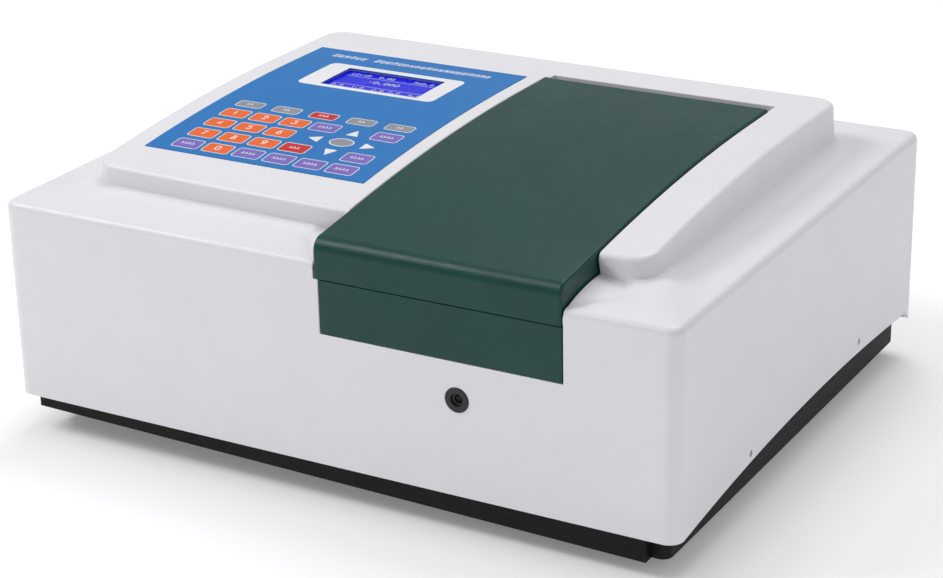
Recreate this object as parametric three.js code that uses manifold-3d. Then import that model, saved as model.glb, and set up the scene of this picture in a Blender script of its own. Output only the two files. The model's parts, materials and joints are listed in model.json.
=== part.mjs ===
// Bench spectrophotometer with a flip-up sample lid, a four-cell changer and a membrane keypad.
//
// Units are millimetres and +Z is up. Inside this file every piece is placed in the cover's own frame:
// x = 0 is the middle of the instrument, y = 0 is the front face (y grows towards the back) and z = 0 is
// the lower edge of the white cover. The exported group then moves the whole instrument so that its
// origin is the middle of its footprint, on the plane that the feet stand on.

import * as THREE from 'three';
import { mergeVertices } from 'three/addons/utils/BufferGeometryUtils.js';
import Module from 'manifold-3d';

const wasm = await Module();
wasm.setup();

// ---------------------------------------------------------------- driving dimensions

const WIDTH = 460;              // cover, side to side
const DEPTH = 372;              // cover, front to back
const HALF = WIDTH / 2;
const WALL = 3;                 // moulded wall of the cover
const CORNER_R = 9;             // upright corners of the cover
const EDGE_R = 5;               // rounding along the cover's upper rim
const RIM_FRONT = 129;          // height of the rim at the front
const RIM_RISE = 2.5;           // extra height of the rim at the back

const TOP_Z = 160.6;            // highest part of the raised top
const CREST_Y = 250;            // the top is level behind this line and curves down in front of it
const TOP_ARC_R = 1520;         // radius of that curve
const TOP_HALF = 191.5;         // half width of the raised top
const TOP_FRONT = 40.5;         // its front edge, on the centre line
const TOP_REAR = 325;           // its rear edge
const TOP_CORNER_R = 15;
const TOP_BOW = 3.5;            // how far the front edge falls back towards its ends
const TOP_EDGE_R = 3.5;         // rounding along its edge
const FOOT_Z = 134.4;           // foot of its wall at the front
const FOOT_RISE = 7.2;          // how much higher that foot is halfway along the sides

const LID_X0 = -1;
const LID_X1 = 159.3;
const LID_REAR = 282;
const LID_FRONT = -0.5;
const LID_LIP_Z = 118.4;        // lower edge of the lid's front lip
const LID_PROUD = 1.0;          // the lid stands this much above the raised top
const LID_SKIN = 2.6;
const LID_SKIRT_Z = 124.8;      // lower edge of the side skirts
const LID_NOSE_R = 8.5;
const SEAM = 0.8;               // gap between the lid and the cover
const HINGE_Y = 276;
const HINGE_Z = 154;
const HINGE_PIN_R = 2;
const HINGE_BORE_R = 2.1;
const HINGE_LUG_R = 4.4;
const HINGE_LUG_X = [6, 151.6];    // middles of the two lugs that hold the hinge pin
const HINGE_LUG_W = 6;

const PANEL_X0 = 1.8;           // green panel under the lid
const PANEL_X1 = 159.4;
const PANEL_Z0 = 84.4;
const PANEL_Z1 = 117.8;
const PANEL_T = 2.5;

const ROD_X = 92.3;             // cell changer rod
const ROD_Z = 60.7;
const ROD_R = 2.4;
const ROD_TIP_Y = 2.5;
const BUSH_R = 7.8;

const BEAM_Y = 88;              // the light crosses the sample chamber along x at this place
const BEAM_Z = 78;

const OVERLAY_X0 = -173.9;      // keypad overlay
const OVERLAY_X1 = -12.7;
const OVERLAY_Y0 = 74.8;
const OVERLAY_Y1 = 281.2;
const OVERLAY_UP = 0.3;         // its face above the cover's top
const OVERLAY_DOWN = 0.6;       // its back below the cover's top
const WINDOW_X0 = -129;         // display window
const WINDOW_X1 = -55.4;
const WINDOW_Y0 = 209.7;
const WINDOW_Y1 = 246;

const KEY_W = 18.4;
const KEY_D = 11.4;
const KEY_SMALL_D = 8.7;
const KEY_UP = 0.7;             // key face above the cover's top
const KEY_DOWN = 0.9;           // key back below the cover's top
const KEY_TRAVEL = 0.4;
const KEY_GAP = 0.3;
const KEY_COLUMN_X = -149;
const KEY_COLUMN_STEP = 22.75;
const KEY_ROW_Y = 86.8;
const KEY_ROW_STEP = 17.5;
const FUNCTION_ROW_Y = 156;
const FUNCTION_COLUMN_X = -148.7;
const FUNCTION_COLUMN_STEP = 28.25;
const ARROW_X = -57.7;
const ARROW_Y = 122;
const ARROW_SIDE = 20;          // left and right arrows from the pad's centre
const ARROW_AHEAD = 16;         // up and down arrows from the pad's centre
const ARROW_SIZE = 9;

const TRAY_DROP = 15.5;         // underside of the base below the cover's edge
const TRAY_INSET = 10;
const TRAY_SKEW = 7;            // extra set-back of the base's front at its left end
const STRIP_X0 = -217;           // strip under the cover's front edge, deeper at its right end
const STRIP_X1 = 209;
const STRIP_Y = 4.5;
const STRIP_TOP = 2;
const STRIP_DROP_LEFT = 8.5;
const STRIP_DROP_RIGHT = 16.5;
const TRAY_T = 2;
const TRAY_RIM_Z = 22;
const TRAY_REAR = 366;
const REAR_PANEL_HALF = 198;
const REAR_PANEL_Z = 98;
const FOOT_H = 10;
const FOOT_R = 12;
const FOOT_INSET_X = 50;
const FOOT_INSET_Y = 50;

const FAN_X = -130;
const FAN_Z = 45;
const FAN_SIZE = 80;
const FAN_T = 25;
const FAN_BORE_R = 38;
const FAN_Y1 = TRAY_REAR - TRAY_T - 0.5;
const FAN_Y0 = FAN_Y1 - FAN_T;

const INLET_X = 150;            // mains inlet module
const INLET_Z = 48;
const SWITCH_Y = 362;           // rocker pivot
const SWITCH_Z = 61;
const SWITCH_TILT = THREE.MathUtils.degToRad(8);

const FLOOR_Z = TRAY_T - TRAY_DROP;   // upper face of the base's floor
const GAP = 0.3;

// ---------------------------------------------------------------- solid helpers

function toSolid(source) {
  let geometry = source.index ? source.toNonIndexed() : source.clone();
  geometry.deleteAttribute('normal');
  geometry.deleteAttribute('uv');
  geometry = mergeVertices(geometry, 1e-4);
  const mesh = new wasm.Mesh({
    numProp: 3,
    vertProperties: new Float32Array(geometry.attributes.position.array),
    triVerts: new Uint32Array(geometry.index.array),
  });
  return new wasm.Manifold(mesh);
}

function toGeometry(solid) {
  const mesh = solid.getMesh();
  const geometry = new THREE.BufferGeometry();
  geometry.setAttribute('position', new THREE.BufferAttribute(mesh.vertProperties, 3));
  geometry.setIndex(new THREE.BufferAttribute(mesh.triVerts, 1));
  geometry.computeVertexNormals();
  return geometry;
}

function join(first, ...rest) {
  return rest.reduce((sum, solid) => sum.add(solid), first);
}

function cut(first, ...rest) {
  return rest.reduce((left, solid) => left.subtract(solid), first);
}

function place(geometry, { turn = [0, 0, 0], at = [0, 0, 0] }) {
  const matrix = new THREE.Matrix4().makeRotationFromEuler(new THREE.Euler(...turn));
  matrix.setPosition(...at);
  return geometry.applyMatrix4(matrix);
}

// A block from its lowest to its highest corner.
function block(x0, x1, y0, y1, z0, z1) {
  const box = new THREE.BoxGeometry(x1 - x0, y1 - y0, z1 - z0);
  return toSolid(box.translate((x0 + x1) / 2, (y0 + y1) / 2, (z0 + z1) / 2));
}

// Round bars: the two ends are given along the bar's own axis.
function barX(radius, x0, x1, y, z, sides = 24) {
  const bar = new THREE.CylinderGeometry(radius, radius, x1 - x0, sides);
  return toSolid(place(bar, { turn: [0, 0, -Math.PI / 2], at: [(x0 + x1) / 2, y, z] }));
}

function barY(radius, x, y0, y1, z, sides = 24) {
  const bar = new THREE.CylinderGeometry(radius, radius, y1 - y0, sides);
  return toSolid(place(bar, { at: [x, (y0 + y1) / 2, z] }));
}

function barZ(radius, x, y, z0, z1, sides = 24, topRadius = radius) {
  const bar = new THREE.CylinderGeometry(topRadius, radius, z1 - z0, sides);
  return toSolid(place(bar, { turn: [Math.PI / 2, 0, 0], at: [x, y, (z0 + z1) / 2] }));
}

function outline(points) {
  return new THREE.Shape(points.map(([u, v]) => new THREE.Vector2(u, v)));
}

// A side profile of (y, z) points, run along x.
function alongX(points, x0, x1) {
  const body = new THREE.ExtrudeGeometry(outline(points), { depth: x1 - x0, bevelEnabled: false });
  const basis = new THREE.Matrix4().makeBasis(
    new THREE.Vector3(0, 1, 0),
    new THREE.Vector3(0, 0, 1),
    new THREE.Vector3(1, 0, 0),
  );
  return toSolid(body.applyMatrix4(basis).translate(x0, 0, 0));
}

// A plan outline of (x, y) points, run along z.
function alongZ(points, z0, z1) {
  const body = new THREE.ExtrudeGeometry(outline(points), { depth: z1 - z0, bevelEnabled: false });
  return toSolid(body.translate(0, 0, z0));
}

function spin(points, x, y, sides = 32) {
  const profile = points.map(([radius, z]) => new THREE.Vector2(radius, z));
  const body = new THREE.LatheGeometry(profile, sides);
  return toSolid(place(body, { turn: [Math.PI / 2, 0, 0], at: [x, y, 0] }));
}

function arc(centreU, centreV, radius, from, to, steps) {
  const points = [];
  for (let i = 0; i <= steps; i += 1) {
    const angle = THREE.MathUtils.degToRad(from + (to - from) * (i / steps));
    points.push([centreU + radius * Math.cos(angle), centreV + radius * Math.sin(angle)]);
  }
  return points;
}

function roundedRectangle(width, depth, radius, steps = 2) {
  const u = width / 2 - radius;
  const v = depth / 2 - radius;
  return [
    ...arc(u, v, radius, 0, 90, steps),
    ...arc(-u, v, radius, 90, 180, steps),
    ...arc(-u, -v, radius, 180, 270, steps),
    ...arc(u, -v, radius, 270, 360, steps),
  ];
}

// ---------------------------------------------------------------- scene helpers

const instrument = new THREE.Group();

const FINISH = {
  cover: { color: 0xe0dfe4, roughness: 0.5, metalness: 0 },
  lid: { color: 0x24483f, roughness: 0.55, metalness: 0 },
  base: { color: 0x121418, roughness: 0.6, metalness: 0.3 },
  overlay: { color: 0x1f7fd2, roughness: 0.45, metalness: 0 },
  numberKey: { color: 0xe8641a, roughness: 0.5, metalness: 0 },
  actionKey: { color: 0x7a66ba, roughness: 0.5, metalness: 0 },
  alertKey: { color: 0xc8101c, roughness: 0.5, metalness: 0 },
  functionKey: { color: 0x8e8f96, roughness: 0.5, metalness: 0 },
  arrowKey: { color: 0xe6e4e4, roughness: 0.5, metalness: 0 },
  clear: { color: 0xdfe8ff, roughness: 0.1, metalness: 0 },
  display: { color: 0x0a12d8, roughness: 0.3, metalness: 0 },
  blackPlastic: { color: 0x17181a, roughness: 0.6, metalness: 0 },
  chamber: { color: 0x1b1c1e, roughness: 0.8, metalness: 0.2 },
  casting: { color: 0x8f9296, roughness: 0.6, metalness: 0.8 },
  steel: { color: 0xb8babd, roughness: 0.35, metalness: 1 },
  anodised: { color: 0x26272a, roughness: 0.5, metalness: 0.6 },
  mirror: { color: 0xe8ecf0, roughness: 0.05, metalness: 1 },
  lampGlass: { color: 0xe8eef2, roughness: 0.1, metalness: 0 },
  board: { color: 0x1d6b3a, roughness: 0.6, metalness: 0.1 },
  rubber: { color: 0x1a1a1a, roughness: 0.9, metalness: 0 },
};

function add(name, solid, finish, where = {}) {
  const material = new THREE.MeshStandardMaterial({ ...FINISH[finish], flatShading: true });
  const mesh = new THREE.Mesh(toGeometry(solid), material);
  mesh.name = name;
  mesh.position.set(...(where.at ?? [0, 0, 0]));
  mesh.rotation.set(...(where.turn ?? [0, 0, 0]));
  instrument.add(mesh);
}

// ---------------------------------------------------------------- shape of the raised top

function topHeight(y) {
  const run = Math.max(0, CREST_Y - y);
  return TOP_Z - (run * run) / (2 * TOP_ARC_R);
}

function topSlope(y) {
  return Math.atan(Math.max(0, CREST_Y - y) / TOP_ARC_R);
}

function topLine(y0, y1, offset, step = 18) {
  const points = [];
  const count = Math.ceil((y1 - y0) / step);
  for (let i = 0; i <= count; i += 1) {
    const y = y0 + (y1 - y0) * (i / count);
    points.push([y, topHeight(y) + offset]);
  }
  return points;
}

// A sheet that follows the raised top, between two offsets from it.
function topSheet(x0, x1, y0, y1, lower, upper) {
  return alongX([...topLine(y0, y1, lower), ...topLine(y0, y1, upper).reverse()], x0, x1);
}

// ---------------------------------------------------------------- cover

// Every ring of the cover has the same points in the same order: it starts at the middle of the front,
// runs to the right and round the back, and is mirrored about x = 0.
const FRONT_STEPS = 5;
const CORNER_STEPS = 4;
const SIDE_STEPS = 12;
const REAR_STEPS = 3;
const REAR_CORNER_START = FRONT_STEPS + CORNER_STEPS + SIDE_STEPS;
const HALF_RING = REAR_CORNER_START + CORNER_STEPS + REAR_STEPS;

function ring(half, front, rear, radius, bow) {
  const right = [];
  const bowAt = (x) => bow * (x / half) ** 2;
  for (let i = 0; i < FRONT_STEPS; i += 1) {
    const x = (half - radius) * (i / FRONT_STEPS);
    right.push([x, front + bowAt(x)]);
  }
  const cornerFront = front + bowAt(half - radius) + radius;
  right.push(...arc(half - radius, cornerFront, radius, -90, 0, CORNER_STEPS));
  for (let i = 1; i < SIDE_STEPS; i += 1) {
    right.push([half, cornerFront + (rear - radius - cornerFront) * (i / SIDE_STEPS)]);
  }
  right.push(...arc(half - radius, rear - radius, radius, 0, 90, CORNER_STEPS));
  for (let i = 1; i <= REAR_STEPS; i += 1) {
    right.push([(half - radius) * (1 - i / REAR_STEPS), rear]);
  }
  const left = right.slice(1, -1).reverse().map(([x, y]) => [-x, y]);
  return [...right, ...left];
}

function coverRing(inset) {
  return ring(HALF - inset, inset, DEPTH - inset, Math.max(CORNER_R - inset, 2), 0);
}

function topRing(growth) {
  const radius = TOP_CORNER_R + growth;
  return ring(TOP_HALF + growth, TOP_FRONT - growth, TOP_REAR + growth, radius, TOP_BOW);
}

function rimHeight(y) {
  return RIM_FRONT + RIM_RISE * (y / DEPTH);
}

function footHeight(y) {
  const along = Math.max(0, y - TOP_FRONT) / (TOP_REAR - TOP_FRONT);
  return FOOT_Z + FOOT_RISE * Math.sin(0.8 * Math.PI * along);
}

function raise(points, height) {
  return points.map(([x, y]) => new THREE.Vector3(x, y, height(y)));
}

// Points on the shoulder: a straight fall at the front, a hollow one along the sides and the back.
function shoulderRing(inner, outer, share) {
  return inner.map((start, i) => {
    const point = start.clone().lerp(outer[i], share);
    const fromMiddle = Math.min(i, 2 * HALF_RING - i);
    const pastFront = THREE.MathUtils.clamp((fromMiddle - FRONT_STEPS) / CORNER_STEPS, 0, 1);
    const straight = 1 - share;
    const hollow = Math.max(0, 1 - share / 0.6) ** 2;
    const fall = THREE.MathUtils.lerp(straight, hollow, pastFront);
    point.z = outer[i].z + (start.z - outer[i].z) * fall;
    return point;
  });
}

function loft(rings) {
  const count = rings[0].length;
  const triangles = [];
  const face = (a, b, c) => triangles.push(a, b, c);
  for (let r = 0; r + 1 < rings.length; r += 1) {
    for (let i = 0; i < count; i += 1) {
      const j = (i + 1) % count;
      face(rings[r][i], rings[r][j], rings[r + 1][j]);
      face(rings[r][i], rings[r + 1][j], rings[r + 1][i]);
    }
  }
  const bottom = rings[0];
  const bottomCentre = new THREE.Vector3(0, DEPTH / 2, bottom[0].z);
  for (let i = 0; i < count; i += 1) {
    face(bottomCentre, bottom[(i + 1) % count], bottom[i]);
  }
  const top = rings[rings.length - 1];
  face(top[0], top[1], top[count - 1]);
  for (let i = 1; i < REAR_CORNER_START; i += 1) {
    face(top[i], top[i + 1], top[count - i - 1]);
    face(top[i], top[count - i - 1], top[count - i]);
  }
  const rearCentre = new THREE.Vector3(0, top[REAR_CORNER_START].y + 1, top[REAR_CORNER_START].z);
  for (let i = REAR_CORNER_START; i < count - REAR_CORNER_START; i += 1) {
    face(rearCentre, top[i], top[i + 1]);
  }
  face(rearCentre, top[count - REAR_CORNER_START], top[REAR_CORNER_START]);
  const positions = triangles.flatMap((point) => [point.x, point.y, point.z]);
  const geometry = new THREE.BufferGeometry();
  geometry.setAttribute('position', new THREE.Float32BufferAttribute(positions, 3));
  return toSolid(geometry);
}

function coverSkin(inset, drop, bottomZ) {
  const rim = raise(coverRing(EDGE_R), (y) => rimHeight(y) - drop);
  const foot = raise(topRing(1 - inset), (y) => footHeight(y) - drop);
  const edge = EDGE_R * (1 - Math.SQRT1_2);
  const topEdge = TOP_EDGE_R * (1 - Math.SQRT1_2);
  return loft([
    raise(coverRing(inset), () => bottomZ),
    raise(coverRing(inset), (y) => rimHeight(y) - EDGE_R),
    raise(coverRing(Math.max(edge, inset + 1)), (y) => rimHeight(y) - Math.max(edge, drop + 1.5)),
    rim,
    shoulderRing(foot, rim, 0.7),
    shoulderRing(foot, rim, 0.4),
    shoulderRing(foot, rim, 0.16),
    foot,
    raise(topRing(-inset), (y) => topHeight(y) - drop - TOP_EDGE_R),
    raise(topRing(-inset - topEdge), (y) => topHeight(y) - drop - topEdge),
    raise(topRing(-inset - TOP_EDGE_R), (y) => topHeight(y) - drop),
  ]);
}

// The lower edge of each side wall is an arch, highest near the middle.
function sideArch() {
  const crown = 13.3;
  const crownY = 222;
  const spread = 58.5;
  const start = crownY - spread * Math.sqrt(crown);
  const end = 358;
  const points = [[start, -20], [DEPTH - WALL, -20], [DEPTH - WALL, 0]];
  const steps = 12;
  for (let i = steps; i >= 0; i -= 1) {
    const y = start + (end - start) * (i / steps);
    points.push([y, crown - ((y - crownY) / spread) ** 2]);
  }
  return alongX(points, -HALF - 5, HALF + 5);
}

function keyPocket(key) {
  const depth = KEY_DOWN + KEY_TRAVEL + KEY_GAP;
  const solid = alongZ(key.outline(KEY_GAP), -depth, 5);
  return solid.transform(keyMatrix(key).elements);
}

const HINGE_RECESS = { floor: 139, rear: 293, x0: 2, cornerRear: 286.8 };

function hingeRecess() {
  const right = LID_X1 + SEAM;
  const front = LID_REAR;
  const high = TOP_Z + 5;
  return join(
    block(HINGE_RECESS.x0, right, front, HINGE_RECESS.rear, HINGE_RECESS.floor, high),
    block(LID_X0 - SEAM, HINGE_RECESS.x0 + 1, front, HINGE_RECESS.cornerRear, HINGE_RECESS.floor, high),
  );
}

function mainCover(keys) {
  const belowEdge = block(-HALF - 5, HALF + 5, -5, DEPTH + 5, -9, 0);
  const shell = cut(coverSkin(0, 0, -5), coverSkin(WALL, WALL, -8), sideArch(), belowEdge);
  const recessTub = block(
    LID_X0 - SEAM - WALL,
    LID_X1 + SEAM + WALL,
    LID_REAR - WALL,
    HINGE_RECESS.rear + WALL,
    HINGE_RECESS.floor - WALL,
    TOP_Z - 2,
  );
  const lidOpening = block(LID_X0 - SEAM, LID_X1 + SEAM, -5, LID_REAR + SEAM, LID_LIP_Z - 0.5, TOP_Z + 20);
  const panelOpening = block(PANEL_X0 - 0.4, PANEL_X1 + 0.4, -5, WALL + 2, PANEL_Z0 - 0.4, LID_LIP_Z + 1);
  const displayOpening = block(
    WINDOW_X0 - 2,
    WINDOW_X1 + 2,
    WINDOW_Y0 - 2,
    WINDOW_Y1 + 2,
    TOP_Z - 12,
    TOP_Z + 5,
  );
  const overlaySeat = topSheet(
    OVERLAY_X0 - GAP,
    OVERLAY_X1 + GAP,
    OVERLAY_Y0 - GAP,
    OVERLAY_Y1 + GAP,
    -OVERLAY_DOWN - GAP,
    5,
  );
  const rodHole = barY(BUSH_R - 1.6, ROD_X, -5, WALL + 5, ROD_Z);
  const rearOpening = block(-190, 190, DEPTH - WALL - 1, DEPTH + 2, -9, 92);
  const screwHoles = [[100.8, 14.4], [272.3, 20]].map(([y, z]) => barX(2.2, -HALF - 5, HALF + 5, y, z, 12));
  return cut(
    join(shell, recessTub),
    hingeRecess(),
    lidOpening,
    panelOpening,
    displayOpening,
    overlaySeat,
    rodHole,
    rearOpening,
    ...screwHoles,
    ...keys.map(keyPocket),
  );
}

// ---------------------------------------------------------------- keypad and display

function keyMatrix(key) {
  const matrix = new THREE.Matrix4().makeRotationX(topSlope(key.y));
  return matrix.setPosition(key.x, key.y, topHeight(key.y));
}

function shift(points, x, y) {
  return points.map(([u, v]) => [u + x, v + y]);
}

function rectangularKey(name, x, y, depth, finish) {
  const shape = (margin) => roundedRectangle(KEY_W + 2 * margin, depth + 2 * margin, 1.5 + margin);
  return { name, x, y, finish, outline: shape };
}

function arrowKey(name, x, y, turn) {
  const shape = (margin) => {
    const reach = ARROW_SIZE / 2 + margin * 2;
    const points = [[0, reach], [-reach, -reach + margin], [reach, -reach + margin]];
    return points.map(([u, v]) => [
      u * Math.cos(turn) - v * Math.sin(turn),
      u * Math.sin(turn) + v * Math.cos(turn),
    ]);
  };
  return { name, x, y, finish: 'arrowKey', outline: shape };
}

function keypad() {
  const keys = [];
  const functionRow = ['f1', 'f2', 'zero', 'f3', 'f4'];
  functionRow.forEach((label, i) => {
    const x = FUNCTION_COLUMN_X + FUNCTION_COLUMN_STEP * i;
    const finish = label === 'zero' ? 'alertKey' : 'functionKey';
    keys.push(rectangularKey(`key_${label}`, x, FUNCTION_ROW_Y, KEY_SMALL_D, finish));
  });
  const rows = [
    ['clear', '0', 'mode', 'start', 'print', 'enter'],
    ['7', '8', '9', 'set', null, 'goto'],
    ['4', '5', '6'],
    ['1', '2', '3', 'load', null, 'save'],
  ];
  rows.forEach((row, r) => row.forEach((label, c) => {
    if (label === null) return;
    const x = KEY_COLUMN_X + KEY_COLUMN_STEP * c;
    const y = KEY_ROW_Y + KEY_ROW_STEP * r;
    const number = label.length === 1 ? 'numberKey' : 'actionKey';
    keys.push(rectangularKey(`key_${label}`, x, y, KEY_D, label === 'set' ? 'alertKey' : number));
  }));
  keys.push(arrowKey('key_up', ARROW_X, ARROW_Y + ARROW_AHEAD, 0));
  keys.push(arrowKey('key_down', ARROW_X, ARROW_Y - ARROW_AHEAD, Math.PI));
  keys.push(arrowKey('key_left', ARROW_X - ARROW_SIDE, ARROW_Y, Math.PI / 2));
  keys.push(arrowKey('key_right', ARROW_X + ARROW_SIDE, ARROW_Y, -Math.PI / 2));
  return keys;
}

function keypadOverlay(keys) {
  const sheet = topSheet(OVERLAY_X0, OVERLAY_X1, OVERLAY_Y0, OVERLAY_Y1, -OVERLAY_DOWN, OVERLAY_UP);
  const windowHole = block(
    WINDOW_X0 - GAP,
    WINDOW_X1 + GAP,
    WINDOW_Y0 - GAP,
    WINDOW_Y1 + GAP,
    TOP_Z - 9,
    TOP_Z + 9,
  );
  return cut(sheet, windowHole, ...keys.map(keyPocket));
}

function lcdModule() {
  const glassTop = topHeight(WINDOW_Y0) - OVERLAY_DOWN - GAP - 0.4;
  return join(
    block(-141, -43, 203, 253, TOP_Z - 12, TOP_Z - 4.5),
    block(WINDOW_X0 - 1.4, WINDOW_X1 + 1.4, WINDOW_Y0 - 1.4, WINDOW_Y1 + 1.4, TOP_Z - 6, glassTop),
  );
}

// ---------------------------------------------------------------- lid, hinge and front panel

// Front of this line the lid's top runs straight on instead of following the curve.
const LID_STRAIGHT_Y = 60;

function lidTopHeight(y) {
  const ahead = Math.min(0, y - LID_STRAIGHT_Y);
  return topHeight(Math.max(y, LID_STRAIGHT_Y)) + LID_PROUD + ahead * Math.tan(topSlope(LID_STRAIGHT_Y));
}

function lidTopLine(y0, y1, offset) {
  const count = 15;
  const points = [];
  for (let i = 0; i <= count; i += 1) {
    const y = y0 + (y1 - y0) * (i / count);
    points.push([y, lidTopHeight(y) + offset]);
  }
  return points;
}

function lidNose(front, radius, offset) {
  const centreY = front + radius;
  const centreZ = lidTopHeight(centreY) + offset - radius;
  return arc(centreY, centreZ, radius, 180, 95, 6);
}

function lid() {
  const innerRear = LID_REAR - LID_SKIN;
  const body = alongX([
    [LID_FRONT, LID_LIP_Z],
    ...lidNose(LID_FRONT, LID_NOSE_R, 0),
    ...lidTopLine(LID_FRONT + LID_NOSE_R + 6, LID_REAR, 0),
    [LID_REAR, HINGE_Z - 6],
    [HINGE_Y + 3, HINGE_Z - 9],
    [HINGE_Y - 12, HINGE_Z - 13],
    [70, LID_SKIRT_Z],
    [LID_FRONT + 3, LID_SKIRT_Z],
    [LID_FRONT + 3, LID_LIP_Z],
  ], LID_X0, LID_X1);
  const hollow = alongX([
    [LID_FRONT + 3, LID_LIP_Z - 5],
    ...lidNose(LID_FRONT + 3, LID_NOSE_R - 3, -LID_SKIN),
    ...lidTopLine(LID_FRONT + LID_NOSE_R + 6, innerRear, -LID_SKIN),
    [innerRear, HINGE_Z + 1],
    [LID_REAR + 5, HINGE_Z + 1],
    [LID_REAR + 5, LID_LIP_Z - 5],
  ], LID_X0 + 3, LID_X1 - 3);
  const lugNotches = HINGE_LUG_X.map((x) => block(
    x - HINGE_LUG_W / 2 - 1,
    x + HINGE_LUG_W / 2 + 1,
    HINGE_Y,
    LID_REAR + 5,
    HINGE_Z - 20,
    lidTopHeight(LID_REAR) - LID_SKIN,
  ));
  const bores = barX(HINGE_BORE_R, LID_X0 - 5, LID_X1 + 5, HINGE_Y, HINGE_Z);
  return cut(body, hollow, bores, ...lugNotches);
}

function hingePin() {
  return barX(HINGE_PIN_R, LID_X0 + 0.5, LID_X1 - 0.5, HINGE_Y, HINGE_Z);
}

function frontPanel() {
  const bossX = [14, 147];
  const plate = block(PANEL_X0, PANEL_X1, 0, PANEL_T, PANEL_Z0, PANEL_Z1);
  const bosses = bossX.map((x) => barY(4, x, PANEL_T - 0.5, CHAMBER.y0 - GAP, 96, 12));
  return join(plate, ...bosses);
}

// ---------------------------------------------------------------- sample chamber and cell changer

const CHAMBER = { x0: 17, x1: 144, y0: 11, y1: 153, z0: 45, wall: 3, deckZ: 124, deckT: 2 };
const RAILS = [84, 100.6];
const RAIL_W = 4;
const RAIL_TOP = CHAMBER.z0 + CHAMBER.wall + 6.5;

// The stem stands in front of the pin, clear of the lid's rear edge when the lid is fully open.
function hingeLug(x) {
  const stemRear = HINGE_Y + 1.5;
  const points = [
    [HINGE_Y - HINGE_LUG_R - 4, CHAMBER.deckZ - 1],
    [stemRear, CHAMBER.deckZ - 1],
    [stemRear, HINGE_Z - HINGE_LUG_R],
    ...arc(HINGE_Y, HINGE_Z, HINGE_LUG_R, -60, 180, 10),
  ];
  return alongX(points, x - HINGE_LUG_W / 2, x + HINGE_LUG_W / 2);
}

function sampleChamber() {
  const { x0, x1, y0, y1, z0, wall, deckZ, deckT } = CHAMBER;
  const tub = block(x0, x1, y0, y1, z0, deckZ);
  const deck = block(-12, 170, 16, 302, deckZ - deckT, deckZ);
  const frontDeck = block(LID_X0 - 0.2, LID_X1 + 0.2, LID_FRONT + 4.5, 18, deckZ - deckT, deckZ);
  const rim = block(x0 - 1, x1 + 1, y0 - 1, y1 + 1, deckZ - 1, deckZ + 3);
  const inner = block(x0 + wall, x1 - wall, y0 + wall, y1 - wall, z0 + wall, deckZ + 10);
  const rails = RAILS.map((x) => block(
    x - RAIL_W / 2,
    x + RAIL_W / 2,
    y0 + 1,
    y1 - 1,
    z0 + 1,
    RAIL_TOP,
  ));
  const aperture = block(x0 - 5, x1 + 5, BEAM_Y - 4, BEAM_Y + 4, BEAM_Z - 6, BEAM_Z + 6);
  const rodHole = barY(ROD_R + 0.8, ROD_X, y0 - 5, y0 + wall + 5, ROD_Z, 16);
  const lugs = HINGE_LUG_X.map(hingeLug);
  const bores = barX(HINGE_BORE_R, -20, 180, HINGE_Y, HINGE_Z);
  return cut(join(cut(join(tub, deck, frontDeck, rim), inner), ...rails, ...lugs), aperture, rodHole, bores);
}

const CARRIAGE = { x0: 79.5, x1: 105.1, y0: 76, y1: 148, z0: 50.5, baseZ: 64, topZ: 104 };
const CELL_PITCH = 16;
const CELL_COUNT = 4;
const CELL_POCKET = 12.8;

function cellCarriage() {
  const { x0, x1, y0, y1, z0, baseZ, topZ } = CARRIAGE;
  const centreX = (x0 + x1) / 2;
  const grooves = RAILS.map((x) => block(
    x - RAIL_W / 2 - 0.5,
    x + RAIL_W / 2 + 0.5,
    y0 - 5,
    y1 + 5,
    z0 - 5,
    RAIL_TOP + 0.5,
  ));
  const pockets = [];
  for (let i = 0; i < CELL_COUNT; i += 1) {
    const y = BEAM_Y + CELL_PITCH * i;
    const half = CELL_POCKET / 2;
    pockets.push(block(centreX - half, centreX + half, y - half, y + half, baseZ, topZ + 5));
    pockets.push(block(x0 - 5, x1 + 5, y - 3, y + 3, BEAM_Z - 8, BEAM_Z + 10));
  }
  return cut(block(x0, x1, y0, y1, z0, topZ), ...grooves, ...pockets);
}

function pullRod() {
  return barY(ROD_R, ROD_X, ROD_TIP_Y, CARRIAGE.y0 - GAP, ROD_Z);
}

function rodBush() {
  return cut(
    join(
      barY(BUSH_R, ROD_X, LID_FRONT, -0.05, ROD_Z, 40),
      barY(BUSH_R - 2, ROD_X, -0.3, CHAMBER.y0 - GAP, ROD_Z, 32),
    ),
    barY(ROD_R + 0.12, ROD_X, -5, 20, ROD_Z),
    barY(ROD_R + 0.5, ROD_X, -5, ROD_TIP_Y, ROD_Z),
  );
}

// ---------------------------------------------------------------- base and feet

function trayFlange(inset) {
  const x = HALF - TRAY_INSET - inset;
  const front = TRAY_INSET + inset;
  const rear = TRAY_REAR - inset;
  const radius = 6 - inset / 2;
  const points = shift(roundedRectangle(2 * x, rear - front, radius, 3), 0, (front + rear) / 2);
  return points.map(([px, py]) => [px, py < DEPTH / 2 ? py + TRAY_SKEW * (0.5 - px / WIDTH) : py]);
}

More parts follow.
